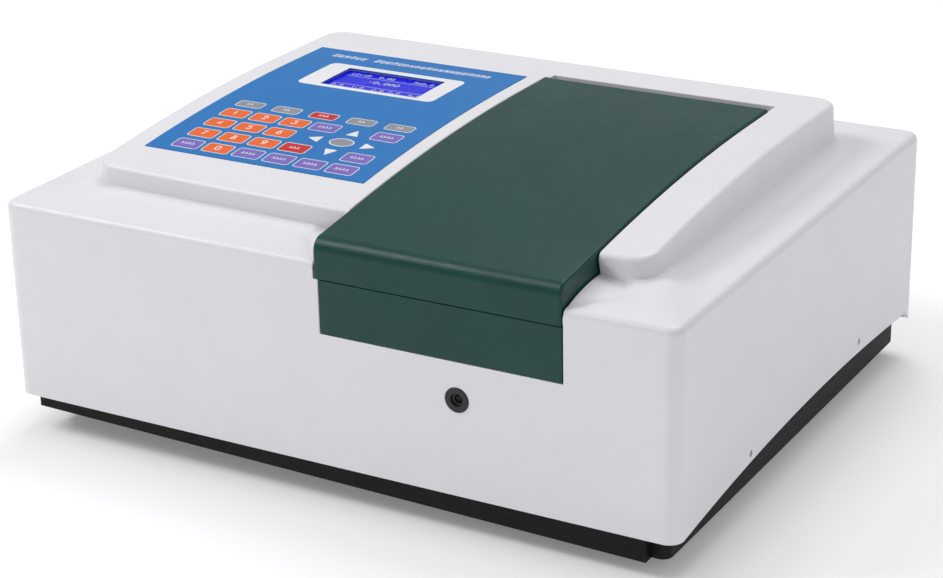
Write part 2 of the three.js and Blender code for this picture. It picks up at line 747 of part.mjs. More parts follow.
// The strip along the base's front, with its lower edge sloping down to the right.
function frontRail() {
  const plan = [
    [STRIP_X0, STRIP_Y],
    [STRIP_X1, STRIP_Y],
    [STRIP_X1, TRAY_INSET + 1.5],
    [STRIP_X0, TRAY_INSET + TRAY_SKEW + 1],
  ];
  const length = STRIP_X1 - STRIP_X0;
  const slope = Math.atan2(STRIP_DROP_RIGHT - STRIP_DROP_LEFT, length);
  const under = block(-10, length + 10, STRIP_Y - 5, TRAY_INSET + TRAY_SKEW + 5, -30, 0)
    .rotate([0, THREE.MathUtils.radToDeg(slope), 0])
    .translate([STRIP_X0, 0, -STRIP_DROP_LEFT]);
  return cut(alongZ(plan, -STRIP_DROP_RIGHT - 1, STRIP_TOP), under);
}

// Ring slots punched in the rear panel over the fan, with a cross of sheet left between them.
function fanGrille() {
  const ringWidth = 7;
  const ringStep = 9.6;
  const web = 3;
  const y0 = TRAY_REAR - 10;
  const y1 = TRAY_REAR + 5;
  const slots = [];
  for (let i = 0; i < 3; i += 1) {
    const inner = 8 + ringStep * i;
    const outer = barY(inner + ringWidth, FAN_X, y0, y1, FAN_Z, 32);
    slots.push(cut(outer, barY(inner, FAN_X, y0 - 1, y1 + 1, FAN_Z, 32)));
  }
  const upright = block(FAN_X - web / 2, FAN_X + web / 2, y0 - 1, y1 + 1, FAN_Z - 50, FAN_Z + 50);
  const level = block(FAN_X - 50, FAN_X + 50, y0 - 1, y1 + 1, FAN_Z - web / 2, FAN_Z + web / 2);
  return cut(join(...slots), upright, level);
}

function baseTray() {
  const pan = alongZ(trayFlange(0), -TRAY_DROP, TRAY_RIM_Z);
  const inside = alongZ(trayFlange(TRAY_T), FLOOR_Z, TRAY_RIM_Z + 5);
  const rearPanel = block(
    -REAR_PANEL_HALF,
    REAR_PANEL_HALF,
    TRAY_REAR - TRAY_T,
    TRAY_REAR,
    -TRAY_DROP,
    REAR_PANEL_Z,
  );
  const inletHole = block(
    INLET_X - 23.4,
    INLET_X + 23.4,
    TRAY_REAR - 10,
    TRAY_REAR + 5,
    INLET_Z - 28.4,
    INLET_Z + 28.4,
  );
  const vents = [];
  for (let i = 0; i < 6; i += 1) {
    const x = LAMP_HOUSE.x0 + 14 + 14 * i;
    vents.push(block(x - 3, x + 3, 240, 310, -TRAY_DROP - 5, FLOOR_Z + 5));
  }
  const footHoles = footPlaces().map(([, x, y]) => barZ(3.3, x, y, -TRAY_DROP - 5, FLOOR_Z + 5, 12));
  const holes = [fanGrille(), inletHole, ...vents, ...footHoles];
  return cut(join(cut(pan, inside), rearPanel, frontRail()), ...holes);
}

function footPlaces() {
  const x = HALF - FOOT_INSET_X;
  return [
    ['foot_front_left', -x, FOOT_INSET_Y],
    ['foot_front_right', x, FOOT_INSET_Y],
    ['foot_rear_left', -x, DEPTH - FOOT_INSET_Y],
    ['foot_rear_right', x, DEPTH - FOOT_INSET_Y],
  ];
}

function foot(x, y) {
  const top = -TRAY_DROP - GAP;
  const ground = -TRAY_DROP - FOOT_H;
  return spin([
    [0, ground],
    [FOOT_R - 2, ground],
    [FOOT_R, top - 1.5],
    [FOOT_R - 1, top],
    [3, top],
    [3, FLOOR_Z + 1.5],
    [0, FLOOR_Z + 1.5],
  ], x, y, 24);
}

// ---------------------------------------------------------------- monochromator

const MONO = { x0: -185, x1: 8, y0: 24, y1: 214, z0: 34, wall: 5, rimZ: 106 };
const SLIT_X = -130;
const GRATING = { x: -70, y: 160 };

function monochromatorBase() {
  const { x0, x1, y0, y1, z0, wall, rimZ } = MONO;
  const box = block(x0, x1, y0, y1, z0, rimZ);
  const inside = block(x0 + wall, x1 - wall, y0 + wall, y1 - wall, z0 + wall + 1, rimZ + 5);
  const legs = [[x0 + 12, y0 + 12], [x1 - 12, y0 + 12], [x0 + 12, y1 - 12], [x1 - 12, y1 - 12]]
    .map(([x, y]) => barZ(7, x, y, FLOOR_Z + GAP, z0 + 1, 12));
  const entrance = block(SLIT_X - 4, SLIT_X + 4, y1 - wall - 5, y1 + 5, BEAM_Z - 8, BEAM_Z + 8);
  const exit = block(x1 - wall - 5, x1 + 5, BEAM_Y - 4, BEAM_Y + 4, BEAM_Z - 8, BEAM_Z + 8);
  return cut(join(cut(box, inside), ...legs), entrance, exit);
}

function monochromatorCover() {
  const { x0, x1, y0, y1, rimZ } = MONO;
  return block(x0, x1, y0, y1, rimZ + GAP, rimZ + GAP + 2.5);
}

function collimatingMirror() {
  const z0 = MONO.z0 + MONO.wall + 1 + GAP;
  const mount = block(-162, -98, 31, 40, z0, z0 + 60);
  const foot = block(-162, -98, 31, 56, z0, z0 + 5);
  const hollow = barZ(300, SLIT_X, 37 + 300, BEAM_Z - 22, z0 + 65, 160);
  return cut(join(mount, foot), hollow);
}

function gratingTurntable() {
  const { x, y } = GRATING;
  const z0 = MONO.z0 + MONO.wall + 1 + GAP;
  return join(
    barZ(8, x, y, z0, z0 + 8, 20),
    barZ(24, x, y, z0 + 7, z0 + 12, 32),
    block(x - 16, x + 16, y - 4, y + 4, z0 + 11, z0 + 56),
  );
}

function filterWheel() {
  const centreX = SLIT_X + 14;
  const rear = MONO.y1 - MONO.wall;
  const wheel = barY(21, centreX, rear - 11, rear - 8, BEAM_Z, 36);
  const hub = barY(5, centreX, rear - 14, rear - 1, BEAM_Z, 16);
  const holes = [];
  for (let i = 0; i < 6; i += 1) {
    const angle = (i * Math.PI) / 3;
    holes.push(barY(5, centreX - 14 * Math.cos(angle), rear - 20, rear, BEAM_Z + 14 * Math.sin(angle), 12));
  }
  return join(cut(wheel, ...holes), hub);
}

// ---------------------------------------------------------------- lamps

const LAMP_HOUSE = { x0: -170, x1: -70, y0: 222, y1: 330, wall: 2, topZ: 114 };
const SELECTOR = { x: SLIT_X, y: 250 };

function lampHouse() {
  const { x0, x1, y0, y1, wall, topZ } = LAMP_HOUSE;
  const z0 = FLOOR_Z + GAP;
  const box = block(x0, x1, y0, y1, z0, topZ);
  const inside = block(x0 + wall, x1 - wall, y0 + wall, y1 - wall, z0 + wall, topZ + 5);
  const exit = barY(8, SLIT_X, y0 - 5, y0 + 10, BEAM_Z, 16);
  const draught = block(FAN_X - 32, FAN_X + 32, y1 - 10, y1 + 5, FAN_Z - 30, FAN_Z + 35);
  const vents = [];
  for (let i = 0; i < 5; i += 1) {
    const y = y0 + 22 + 16 * i;
    vents.push(block(x0 - 5, x0 + 5, y - 3, y + 3, 20, 90));
  }
  return cut(box, inside, exit, draught, ...vents);
}

function deuteriumLamp() {
  const z0 = FLOOR_Z + GAP + LAMP_HOUSE.wall + GAP;
  return spin([
    [0, z0], [17, z0], [17, z0 + 5], [9, z0 + 8], [9, 42], [14, 50], [14, 96], [10, 103], [0, 106],
  ], -148, 290, 28);
}

function tungstenLamp() {
  const z0 = FLOOR_Z + GAP + LAMP_HOUSE.wall + GAP;
  return spin([
    [0, z0], [11, z0], [11, z0 + 5], [7, z0 + 8], [7, 64], [5.5, 68], [5.5, 86], [3, 91], [0, 92],
  ], -92, 290, 24);
}

function lampMirror() {
  const { x, y } = SELECTOR;
  const z0 = FLOOR_Z + GAP + LAMP_HOUSE.wall + GAP;
  const plate = block(x - 11, x + 11, y - 1.5, y + 1.5, BEAM_Z - 14, BEAM_Z + 14);
  return join(barZ(5, x, y, z0, z0 + 12, 16), barZ(3, x, y, z0 + 11, BEAM_Z - 13, 12), plate);
}

// ---------------------------------------------------------------- detector, electronics, fan, inlet

function detectorHousing() {
  const x0 = CHAMBER.x1 + 3;
  const x1 = x0 + 58;
  const y0 = BEAM_Y - 30;
  const y1 = BEAM_Y + 30;
  const z0 = BEAM_Z - 32;
  const z1 = BEAM_Z + 28;
  const body = block(x0, x1, y0, y1, z0, z1);
  const inside = block(x0 + 3, x1 - 3, y0 + 3, y1 - 3, z0 + 3, z1 - 3);
  const window = block(x0 - 5, x0 + 5, BEAM_Y - 5, BEAM_Y + 5, BEAM_Z - 7, BEAM_Z + 7);
  const leg = block(x0 + 12, x1 - 12, y0 + 12, y1 - 12, FLOOR_Z + GAP, z0 + 1);
  return join(cut(body, inside, window), leg);
}

function mainBoard() {
  const z = 121;
  return join(
    block(-182, -24, 66, 200, z, z + 1.6),
    block(-150, -120, 100, 130, z + 1, z + 5),
    block(-90, -66, 90, 114, z + 1, z + 4),
    block(-60, -34, 150, 190, z + 1, z + 12),
    block(-178, -168, 80, 180, z + 1, z + 10),
  );
}

function powerSupply() {
  const box = block(28, 138, 190, 300, FLOOR_Z + 5, 48);
  const terminals = block(40, 126, 299, 312, FLOOR_Z + 8, FLOOR_Z + 24);
  const posts = [[36, 198], [130, 198], [36, 292], [130, 292]]
    .map(([x, y]) => barZ(4, x, y, FLOOR_Z + GAP, FLOOR_Z + 6, 8));
  return join(box, terminals, ...posts);
}

function fanFrame() {
  const half = FAN_SIZE / 2;
  const rim = cut(
    block(FAN_X - half, FAN_X + half, FAN_Y0, FAN_Y1, FAN_Z - half, FAN_Z + half),
    barY(FAN_BORE_R, FAN_X, FAN_Y0 - 5, FAN_Y1 + 5, FAN_Z, 40),
  );
  const motor = barY(15, FAN_X, FAN_Y0, FAN_Y0 + 3, FAN_Z, 24);
  const strutA = block(FAN_X - half + 1, FAN_X + half - 1, FAN_Y0, FAN_Y0 + 3, FAN_Z - 2, FAN_Z + 2);
  const strutB = block(FAN_X - 2, FAN_X + 2, FAN_Y0, FAN_Y0 + 3, FAN_Z - half + 1, FAN_Z + half - 1);
  return join(rim, motor, strutA, strutB);
}

function fanRotor() {
  const y0 = FAN_Y0 + 4.5;
  const y1 = FAN_Y1 - 1.5;
  const middle = (y0 + y1) / 2;
  const parts = [barY(15.5, FAN_X, y0, y1, FAN_Z, 28)];
  const blades = 7;
  for (let i = 0; i < blades; i += 1) {
    const blade = new THREE.BoxGeometry(21.5, 18, 1.6).rotateX(0.62).translate(25, 0, 0);
    blade.rotateY((i * 2 * Math.PI) / blades).translate(FAN_X, middle, FAN_Z);
    parts.push(toSolid(blade));
  }
  return join(...parts);
}

function powerInlet() {
  const body = block(INLET_X - 23, INLET_X + 23, TRAY_REAR - 32, TRAY_REAR + 1, INLET_Z - 28, INLET_Z + 28);
  const flange = block(
    INLET_X - 26,
    INLET_X + 26,
    TRAY_REAR + GAP,
    TRAY_REAR + 2.8,
    INLET_Z - 31,
    INLET_Z + 31,
  );
  const socket = block(INLET_X - 12, INLET_X + 12, TRAY_REAR - 14, TRAY_REAR + 9, 24, 40.5);
  const rockerBay = block(
    INLET_X - 7.1,
    INLET_X + 7.1,
    SWITCH_Y - 9,
    TRAY_REAR + 9,
    SWITCH_Z - 11.4,
    SWITCH_Z + 11.4,
  );
  return cut(join(body, flange), socket, rockerBay);
}

function powerSwitch() {
  const profile = [[-4, -6], [3.2, -9.6], [6.2, -9.6], [4.2, 0], [6.2, 9.6], [3.2, 9.6], [-4, 6]];
  return alongX(profile, -6.6, 6.6);
}

// ---------------------------------------------------------------- assembly

const keys = keypad();

add('base_tray', baseTray(), 'base');
add('main_cover', mainCover(keys), 'cover');
add('keypad_overlay', keypadOverlay(keys), 'overlay');
add('display_window', topSheet(WINDOW_X0, WINDOW_X1, WINDOW_Y0, WINDOW_Y1, -OVERLAY_DOWN, 0.2), 'clear');
add('lcd_module', lcdModule(), 'display');
add('front_panel', frontPanel(), 'lid');
add('rod_bush', rodBush(), 'blackPlastic');
add('sample_chamber', sampleChamber(), 'chamber');
add('hinge_pin', hingePin(), 'steel');
add('lid', lid(), 'lid');
add('cell_carriage', cellCarriage(), 'anodised');
add('pull_rod', pullRod(), 'steel');
add('monochromator_base', monochromatorBase(), 'casting');
add('monochromator_cover', monochromatorCover(), 'steel');
add('collimating_mirror', collimatingMirror(), 'mirror');
add('grating_turntable', gratingTurntable(), 'anodised');
add('filter_wheel', filterWheel(), 'anodised');
add('lamp_house', lampHouse(), 'anodised');
add('deuterium_lamp', deuteriumLamp(), 'lampGlass');
add('tungsten_lamp', tungstenLamp(), 'lampGlass');
add('lamp_mirror', lampMirror(), 'mirror');
add('detector_housing', detectorHousing(), 'anodised');
add('main_board', mainBoard(), 'board');
add('power_supply', powerSupply(), 'steel');
add('fan_frame', fanFrame(), 'blackPlastic');
add('fan_rotor', fanRotor(), 'blackPlastic');
add('power_inlet', powerInlet(), 'blackPlastic');
add('power_switch', powerSwitch(), 'blackPlastic', {
  at: [INLET_X, SWITCH_Y, SWITCH_Z],
  turn: [-SWITCH_TILT, 0, 0],
});
for (const [name, x, y] of footPlaces()) {
  add(name, foot(x, y), 'rubber');
}
for (const key of keys) {
  add(key.name, alongZ(key.outline(0), -KEY_DOWN, KEY_UP), key.finish, {
    at: [key.x, key.y, topHeight(key.y)],
    turn: [topSlope(key.y), 0, 0],
  });
}

// The instrument stands on its feet, with the middle of its footprint at the origin.
const FOOTPRINT_MIDDLE = (DEPTH + LID_FRONT) / 2;
instrument.position.set(0, -FOOTPRINT_MIDDLE, TRAY_DROP + FOOT_H);
instrument.updateMatrixWorld(true);

export default instrument;
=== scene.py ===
"""Looks of the bench spectrophotometer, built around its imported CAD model.

Lengths inside this file are millimetres in the cover's own frame: x = 0 is the middle of the instrument,
y = 0 its front face (y grows towards the back) and z = 0 the lower edge of the white cover. at() turns such
a point into the row frame, in metres.
"""

import json
import math
import random

import bmesh
import bpy
from mathutils import Matrix, Vector


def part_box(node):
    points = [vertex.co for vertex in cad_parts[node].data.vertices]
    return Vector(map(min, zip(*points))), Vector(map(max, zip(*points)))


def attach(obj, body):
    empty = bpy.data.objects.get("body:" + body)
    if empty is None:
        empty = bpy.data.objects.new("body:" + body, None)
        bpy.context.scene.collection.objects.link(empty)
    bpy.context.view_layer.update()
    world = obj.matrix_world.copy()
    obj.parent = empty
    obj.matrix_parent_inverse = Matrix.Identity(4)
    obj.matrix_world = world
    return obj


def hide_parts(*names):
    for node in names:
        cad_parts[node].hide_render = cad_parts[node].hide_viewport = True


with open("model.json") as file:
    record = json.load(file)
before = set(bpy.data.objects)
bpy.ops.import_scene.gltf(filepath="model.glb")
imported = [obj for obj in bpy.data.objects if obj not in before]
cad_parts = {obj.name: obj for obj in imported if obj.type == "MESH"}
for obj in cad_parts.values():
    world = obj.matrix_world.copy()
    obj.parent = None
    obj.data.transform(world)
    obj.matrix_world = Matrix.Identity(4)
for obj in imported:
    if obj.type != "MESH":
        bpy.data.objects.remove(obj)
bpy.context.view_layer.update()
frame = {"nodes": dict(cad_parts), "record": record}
bpy.context.scene.view_settings.view_transform = "Standard"

NODES = frame["nodes"]
cover_low, cover_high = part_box("main_cover")
ORIGIN = Vector(((cover_low.x + cover_high.x) / 2, cover_low.y, cover_low.z))
MM = 0.001


def at(x, y, z):
    return ORIGIN + Vector((x, y, z)) * MM


def local_box(node):
    """A CAD node's lowest and highest corner, in this file's millimetres."""
    low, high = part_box(node)
    return (low - ORIGIN) / MM, (high - ORIGIN) / MM


# ------------------------------------------------------------------ dimensions

WIDTH = (cover_high.x - cover_low.x) / MM
DEPTH = (cover_high.y - cover_low.y) / MM
HALF = WIDTH / 2
WALL = 3
CORNER_R = 9
EDGE_R = 5
RIM_FRONT = 129
RIM_RISE = 2.5
TOP_Z = (cover_high.z - cover_low.z) / MM
CREST_Y = 250
TOP_ARC_R = 1520
TOP_HALF = 191.5
TOP_FRONT = 40.5
TOP_REAR = 325
TOP_CORNER_R = 15
TOP_BOW = 3.5
TOP_EDGE_R = 3.5
FOOT_Z = 134.4
FOOT_RISE = 7.2
FOOT_SWELL = 0.8

lid_low, lid_high = local_box("lid")
LID_X0, LID_X1 = lid_low.x, lid_high.x
LID_FRONT, LID_REAR = lid_low.y, lid_high.y
LID_LIP_Z = lid_low.z
LID_PROUD = 1.0
LID_SKIN = 2.6
LID_WALL = 3
LID_EDGE_R = 1.8
LID_SKIRT_Z = 124.8
LID_NOSE_R = 8.5
LID_STRAIGHT_Y = 60
SEAM = 0.8
HINGE_Y = 276
HINGE_Z = 154
HINGE_BORE_R = 2.1
HINGE_LUG_X = (6, 151.6)
HINGE_LUG_W = 6


def clamped(value):
    return min(1, max(0, value))


def eased(value):
    """value held between 0 and 1, with a soft start and a soft end."""
    value = clamped(value)
    return value * value * (3 - 2 * value)


def top_height(y):
    run = max(0, CREST_Y - y)
    return TOP_Z - run * run / (2 * TOP_ARC_R)


def top_slope(y):
    return math.atan(max(0, CREST_Y - y) / TOP_ARC_R)


def lid_top_height(y):
    ahead = min(0, y - LID_STRAIGHT_Y)
    return top_height(max(y, LID_STRAIGHT_Y)) + LID_PROUD + ahead * math.tan(top_slope(LID_STRAIGHT_Y))


# ------------------------------------------------------------------ node materials

def srgb(red, green, blue):
    def linear(c):
        c /= 255
        return c / 12.92 if c <= 0.04045 else ((c + 0.055) / 1.055) ** 2.4
    return (linear(red), linear(green), linear(blue), 1)


NOISE_LOW, NOISE_HIGH = 0.3, 0.7  # the part of a noise's range that is used


class Surface:
    """A material with a Principled shader and short ways to feed it."""

    def __init__(self, name):
        self.material = bpy.data.materials.new(name)
        self.material.use_nodes = True
        self.tree = self.material.node_tree
        self.shader = self.tree.nodes["Principled BSDF"]
        self.where = self.tree.nodes.new("ShaderNodeTexCoord").outputs["Object"]

    def node(self, kind, **settings):
        made = self.tree.nodes.new(kind)
        for key, value in settings.items():
            setattr(made, key, value)
        return made

    def link(self, output, target):
        self.tree.links.new(output, target)

    def noise(self, size_mm, detail=2, roughness=0.5, stretch=(1, 1, 1)):
        mapping = self.node("ShaderNodeMapping")
        mapping.inputs["Scale"].default_value = stretch
        self.link(self.where, mapping.inputs["Vector"])
        made = self.node("ShaderNodeTexNoise")
        made.inputs["Scale"].default_value = 1000 / size_mm
        made.inputs["Detail"].default_value = detail
        made.inputs["Roughness"].default_value = roughness
        self.link(mapping.outputs["Vector"], made.inputs["Vector"])
        return made.outputs["Fac"]

    def cells(self, size_mm):
        made = self.node("ShaderNodeTexVoronoi", feature="F1")
        made.inputs["Scale"].default_value = 1000 / size_mm
        self.link(self.where, made.inputs["Vector"])
        return made.outputs["Distance"]

    def spread(self, source, low, high):
        made = self.node("ShaderNodeMapRange")
        made.inputs["From Min"].default_value = NOISE_LOW
        made.inputs["From Max"].default_value = NOISE_HIGH
        made.inputs["To Min"].default_value = low
        made.inputs["To Max"].default_value = high
        self.link(source, made.inputs["Value"])
        return made.outputs["Result"]

    def tint(self, source, first, second):
        made = self.node("ShaderNodeValToRGB")
        made.color_ramp.elements[0].position = NOISE_LOW
        made.color_ramp.elements[0].color = first
        made.color_ramp.elements[1].position = NOISE_HIGH
        made.color_ramp.elements[1].color = second
        self.link(source, made.inputs["Fac"])
        return made.outputs["Color"]

    def mottle(self, source, colour, low, high):
        """Base colour that drifts between two shades of one colour."""
        tinted = self.tint(source, shade(colour, low), shade(colour, high))
        self.link(tinted, self.shader.inputs["Base Color"])

    def gloss(self, source, low, high):
        """Roughness that drifts between two values."""
        self.link(self.spread(source, low, high), self.shader.inputs["Roughness"])

    def bump(self, source, height_mm):
        made = self.node("ShaderNodeBump")
        made.inputs["Strength"].default_value = 1
        made.inputs["Distance"].default_value = height_mm * MM
        previous = self.shader.inputs["Normal"]
        if previous.is_linked:
            self.link(previous.links[0].from_socket, made.inputs["Normal"])
        self.link(source, made.inputs["Height"])
        self.link(made.outputs["Normal"], previous)

    def fixed(self, **values):
        for key, value in values.items():
            self.shader.inputs[key.replace("_", " ")].default_value = value


def shade(colour, factor):
    return tuple(min(1, c * factor) for c in colour[:3]) + (1,)


def moulded(name, colour, roughness=0.45, grain_mm=0.7, grain_height=0.012, mottle=0.03, **fixed):
    """Moulded or printed plastic: faint mottle, uneven gloss and a fine grain."""
    s = Surface(name)
    s.mottle(s.noise(38, 3), colour, 1 - mottle, 1 + mottle)
    s.gloss(s.noise(12, 3), roughness - 0.05, roughness + 0.05)
    s.bump(s.noise(grain_mm, 2), grain_height)
    s.fixed(**fixed)
    return s.material


def metal(name, colour, roughness=0.35, brushed=(1, 1, 1), grain_mm=1.2, grain_height=0.006, metallic=1.0):
    """Sheet, cast or anodised metal: brushing or grain, and stains in its gloss."""
    s = Surface(name)
    s.mottle(s.noise(25, 4), colour, 0.93, 1.05)
    s.gloss(s.noise(6, 4, 0.6, brushed), roughness - 0.08, roughness + 0.1)
    s.bump(s.noise(grain_mm, 3, 0.6, brushed), grain_height)
    s.fixed(Metallic=metallic)
    return s.material


def powder_coat(name, colour, roughness=0.5, gloss=0.5):
    """Powder coat: fine orange peel over sheet metal."""
    s = Surface(name)
    s.mottle(s.noise(30, 3), colour, 0.92, 1.1)
    s.gloss(s.noise(2.5, 2), roughness - 0.07, roughness + 0.07)
    s.bump(s.cells(0.9), 0.03)
    s.bump(s.noise(0.5, 2), 0.01)
    s.fixed(Specular_IOR_Level=gloss)
    return s.material


def grained_lid(name, colour):
    """Spark-eroded grain on dark plastic, polished a little where hands rub it."""
    s = Surface(name)
    s.mottle(s.noise(45, 4), colour, 0.93, 1.07)
    s.gloss(s.noise(20, 3), 0.27, 0.38)
    s.bump(s.noise(1.1, 4, 0.7), 0.16)
    s.bump(s.noise(0.35, 2), 0.012)
    s.fixed(Specular_IOR_Level=0.34)
    return s.material


def clear(name, colour, alpha, roughness=0.05, gloss=0.5):
    s = Surface(name)
    s.gloss(s.noise(15, 2), roughness, roughness + 0.05)
    s.bump(s.noise(9, 2), 0.004)
    s.fixed(Base_Color=colour, Alpha=alpha, IOR=1.49, Specular_IOR_Level=gloss)
    return s.material


def glowing(name, colour, strength):
    s = Surface(name)
    s.mottle(s.noise(14, 2), colour, 0.94, 1.04)
    s.gloss(s.noise(8, 2), 0.25, 0.35)
    s.fixed(Emission_Color=colour, Emission_Strength=strength)
    return s.material


def ink(name, *colour):
    """A colour printed on the keypad film."""
    return moulded(name, srgb(*colour), 0.45, 0.35, 0.004)


COVER = moulded("cover_plastic", srgb(228, 227, 232), 0.4, 0.9, 0.008, 0.012, Specular_IOR_Level=0.5)
LID = grained_lid("lid_plastic", srgb(4, 62, 56))
BASE = powder_coat("base_paint", srgb(6, 7, 9), 0.6, 0.25)
# painted shade: the dark colour put into the lid's seam gaps, where there is only shade
SEAM_SHADE = moulded("seam_painted_shade", srgb(10, 12, 12), 0.9, 0.6, 0.02, 0.06, Specular_IOR_Level=0.1)
OVERLAY = moulded("overlay_film", srgb(0, 112, 186), 0.42, 0.4, 0.004, 0.015)
ORANGE = ink("print_orange", 233, 98, 22)
PURPLE = ink("print_purple", 118, 100, 186)
RED = ink("print_red", 200, 14, 26)
GREY = ink("print_grey", 140, 141, 150)
PALE = ink("print_pale", 232, 232, 236)
BLACK = moulded("black_plastic", srgb(26, 26, 28), 0.5, 0.6, 0.02, 0.06)
CHAMBER = powder_coat("chamber_paint", srgb(27, 27, 29), 0.75)
CAST = metal("cast_aluminium", srgb(150, 152, 156), 0.55, (1, 1, 1), 1.6, 0.06)
STEEL = metal("plain_steel", srgb(190, 192, 196), 0.3, (1, 12, 1), 0.9, 0.006)
ANODISED = metal("black_anodised", srgb(42, 43, 47), 0.42, (1, 1, 1), 0.5, 0.006, 0.85)
BLACKENED = metal("blackened_steel", srgb(30, 30, 32), 0.45, (1, 1, 1), 0.8, 0.006, 0.6)
MIRROR = metal("mirror_coat", srgb(232, 236, 240), 0.12, (1, 1, 1), 30, 0.001)
GLASS = clear("lamp_glass", srgb(236, 241, 246), 0.35)
WINDOW = clear("window_acrylic", srgb(10, 12, 60), 0.03, 0.08, 0.06)
BACKLIGHT = glowing("display_backlight", srgb(0, 0, 205), 0.35)
PIXEL = glowing("display_pixel", srgb(190, 196, 150), 0.35)
BOARD = moulded("board_laminate", srgb(24, 100, 56), 0.4, 0.8, 0.02, 0.08)
RUBBER = moulded("foot_rubber", srgb(30, 30, 31), 0.8, 0.8, 0.05, 0.1)
GOLD = metal("contact_brass", srgb(212, 178, 92), 0.3, (1, 1, 1), 0.8, 0.004)


# ------------------------------------------------------------------ mesh tools

def raw(verts, faces):
    """A mesh from millimetre points."""
    mesh = bpy.data.meshes.new("part")
    mesh.from_pydata([at(*v) for v in verts], [], faces)
    mesh.validate()
    fresh = bmesh.new()
    fresh.from_mesh(mesh)
    bmesh.ops.recalc_face_normals(fresh, faces=fresh.faces)
    fresh.to_mesh(mesh)
    fresh.free()
    return mesh


def temporary(mesh):
    made = bpy.data.objects.new("tool", mesh)
    bpy.context.scene.collection.objects.link(made)
    return made


def drop(thing):
    mesh = thing.data
    bpy.data.objects.remove(thing)
    bpy.data.meshes.remove(mesh)


def settle(thing):
    """Applies an object's modifiers to its own mesh."""
    bpy.context.view_layer.update()
    graph = bpy.context.evaluated_depsgraph_get()
    old = thing.data
    thing.data = bpy.data.meshes.new_from_object(thing.evaluated_get(graph))
    thing.modifiers.clear()
    bpy.data.meshes.remove(old)


def boolean(mesh, tools, operation="DIFFERENCE"):
    """mesh cut by, or joined to, each tool mesh in turn."""
    body = temporary(mesh)
    for tool in tools:
        other = temporary(tool)
        step = body.modifiers.new("step", "BOOLEAN")
        step.solver = "EXACT"
        step.operation = operation
        step.object = other
        settle(body)
        drop(other)
    result = body.data
    bpy.data.objects.remove(body)
    return result


def merged(meshes):
    """Several meshes in one, with their material numbers kept."""
    fresh = bmesh.new()
    for mesh in meshes:
        fresh.from_mesh(mesh)
    result = bpy.data.meshes.new("part")
    fresh.to_mesh(result)
    fresh.free()
    for mesh in meshes:
        bpy.data.meshes.remove(mesh)
    return result


def paint(mesh, number):
    for face in mesh.polygons:
        face.material_index = number
    return mesh


def bevelled(mesh, width_mm, segments=2, angle=30):
    body = temporary(mesh)
    step = body.modifiers.new("edge", "BEVEL")
    step.width = width_mm * MM
    step.segments = segments
    step.limit_method = "ANGLE"
    step.angle_limit = math.radians(angle)
    step.miter_outer = "MITER_ARC"
    settle(body)
    result = body.data
    bpy.data.objects.remove(body)
    return result


SMOOTH_ANGLE = 32


def piece(name, mesh, materials, body, stands_for=()):
    """A finished piece: shaded smooth up to an angle, painted, and riding on a CAD body."""
    mesh.name = name
    for material in materials:
        mesh.materials.append(material)
    mesh.shade_smooth()
    mesh.set_sharp_from_angle(angle=math.radians(SMOOTH_ANGLE))
    made = bpy.data.objects.new(name, mesh)
    bpy.context.scene.collection.objects.link(made)
    weigh = made.modifiers.new("normals", "WEIGHTED_NORMAL")
    weigh.keep_sharp = True
    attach(made, body)
    if stands_for:
        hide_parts(*stands_for)
    return made


def block(x0, x1, y0, y1, z0, z1):
    verts = [(x, y, z) for x in (x0, x1) for y in (y0, y1) for z in (z0, z1)]
    faces = [(0, 1, 3, 2), (4, 6, 7, 5), (0, 4, 5, 1), (2, 3, 7, 6), (0, 2, 6, 4), (1, 5, 7, 3)]
    return raw(verts, faces)


def soft_block(x0, x1, y0, y1, z0, z1, radius=0.6, segments=2):
    return bevelled(block(x0, x1, y0, y1, z0, z1), radius, segments)


def bands(rings):
    """All the points of some rings, and the quads between each ring and the next."""
    count = len(rings[0])
    verts = [v for one in rings for v in one]
    faces = []
    for r in range(len(rings) - 1):
        for i in range(count):
            j = (i + 1) % count
            faces.append((r * count + i, r * count + j, (r + 1) * count + j, (r + 1) * count + i))
    return verts, faces


def rings_to_mesh(rings):
    """A closed solid from rings of points, with a flat face at each end."""
    verts, faces = bands(rings)
    count = len(rings[0])
    faces.append(tuple(range(count - 1, -1, -1)))
    faces.append(tuple(range(len(verts) - count, len(verts))))
    return raw(verts, faces)


def prism_x(points, x0, x1):
    """A side profile of (y, z) points, run along x."""
    return rings_to_mesh([[(x, y, z) for y, z in points] for x in (x0, x1)])


def prism_y(points, y0, y1):
    return rings_to_mesh([[(x, y, z) for x, z in points] for y in (y0, y1)])


def arc(u, v, radius, start, end, steps):
    points = []
    for i in range(steps + 1):
        angle = math.radians(start + (end - start) * i / steps)
        points.append((u + radius * math.cos(angle), v + radius * math.sin(angle)))
    return points


def rounded(width, height, radius, steps=5, u=0, v=0):
    a, b = width / 2 - radius, height / 2 - radius
    return (arc(u + a, v + b, radius, 0, 90, steps) + arc(u - a, v + b, radius, 90, 180, steps)
            + arc(u - a, v - b, radius, 180, 270, steps) + arc(u + a, v - b, radius, 270, 360, steps))


AXES = {
    "x": lambda u, v, w: (w, u, v),
    "y": lambda u, v, w: (u, w, v),
    "z": lambda u, v, w: (u, v, w),
}


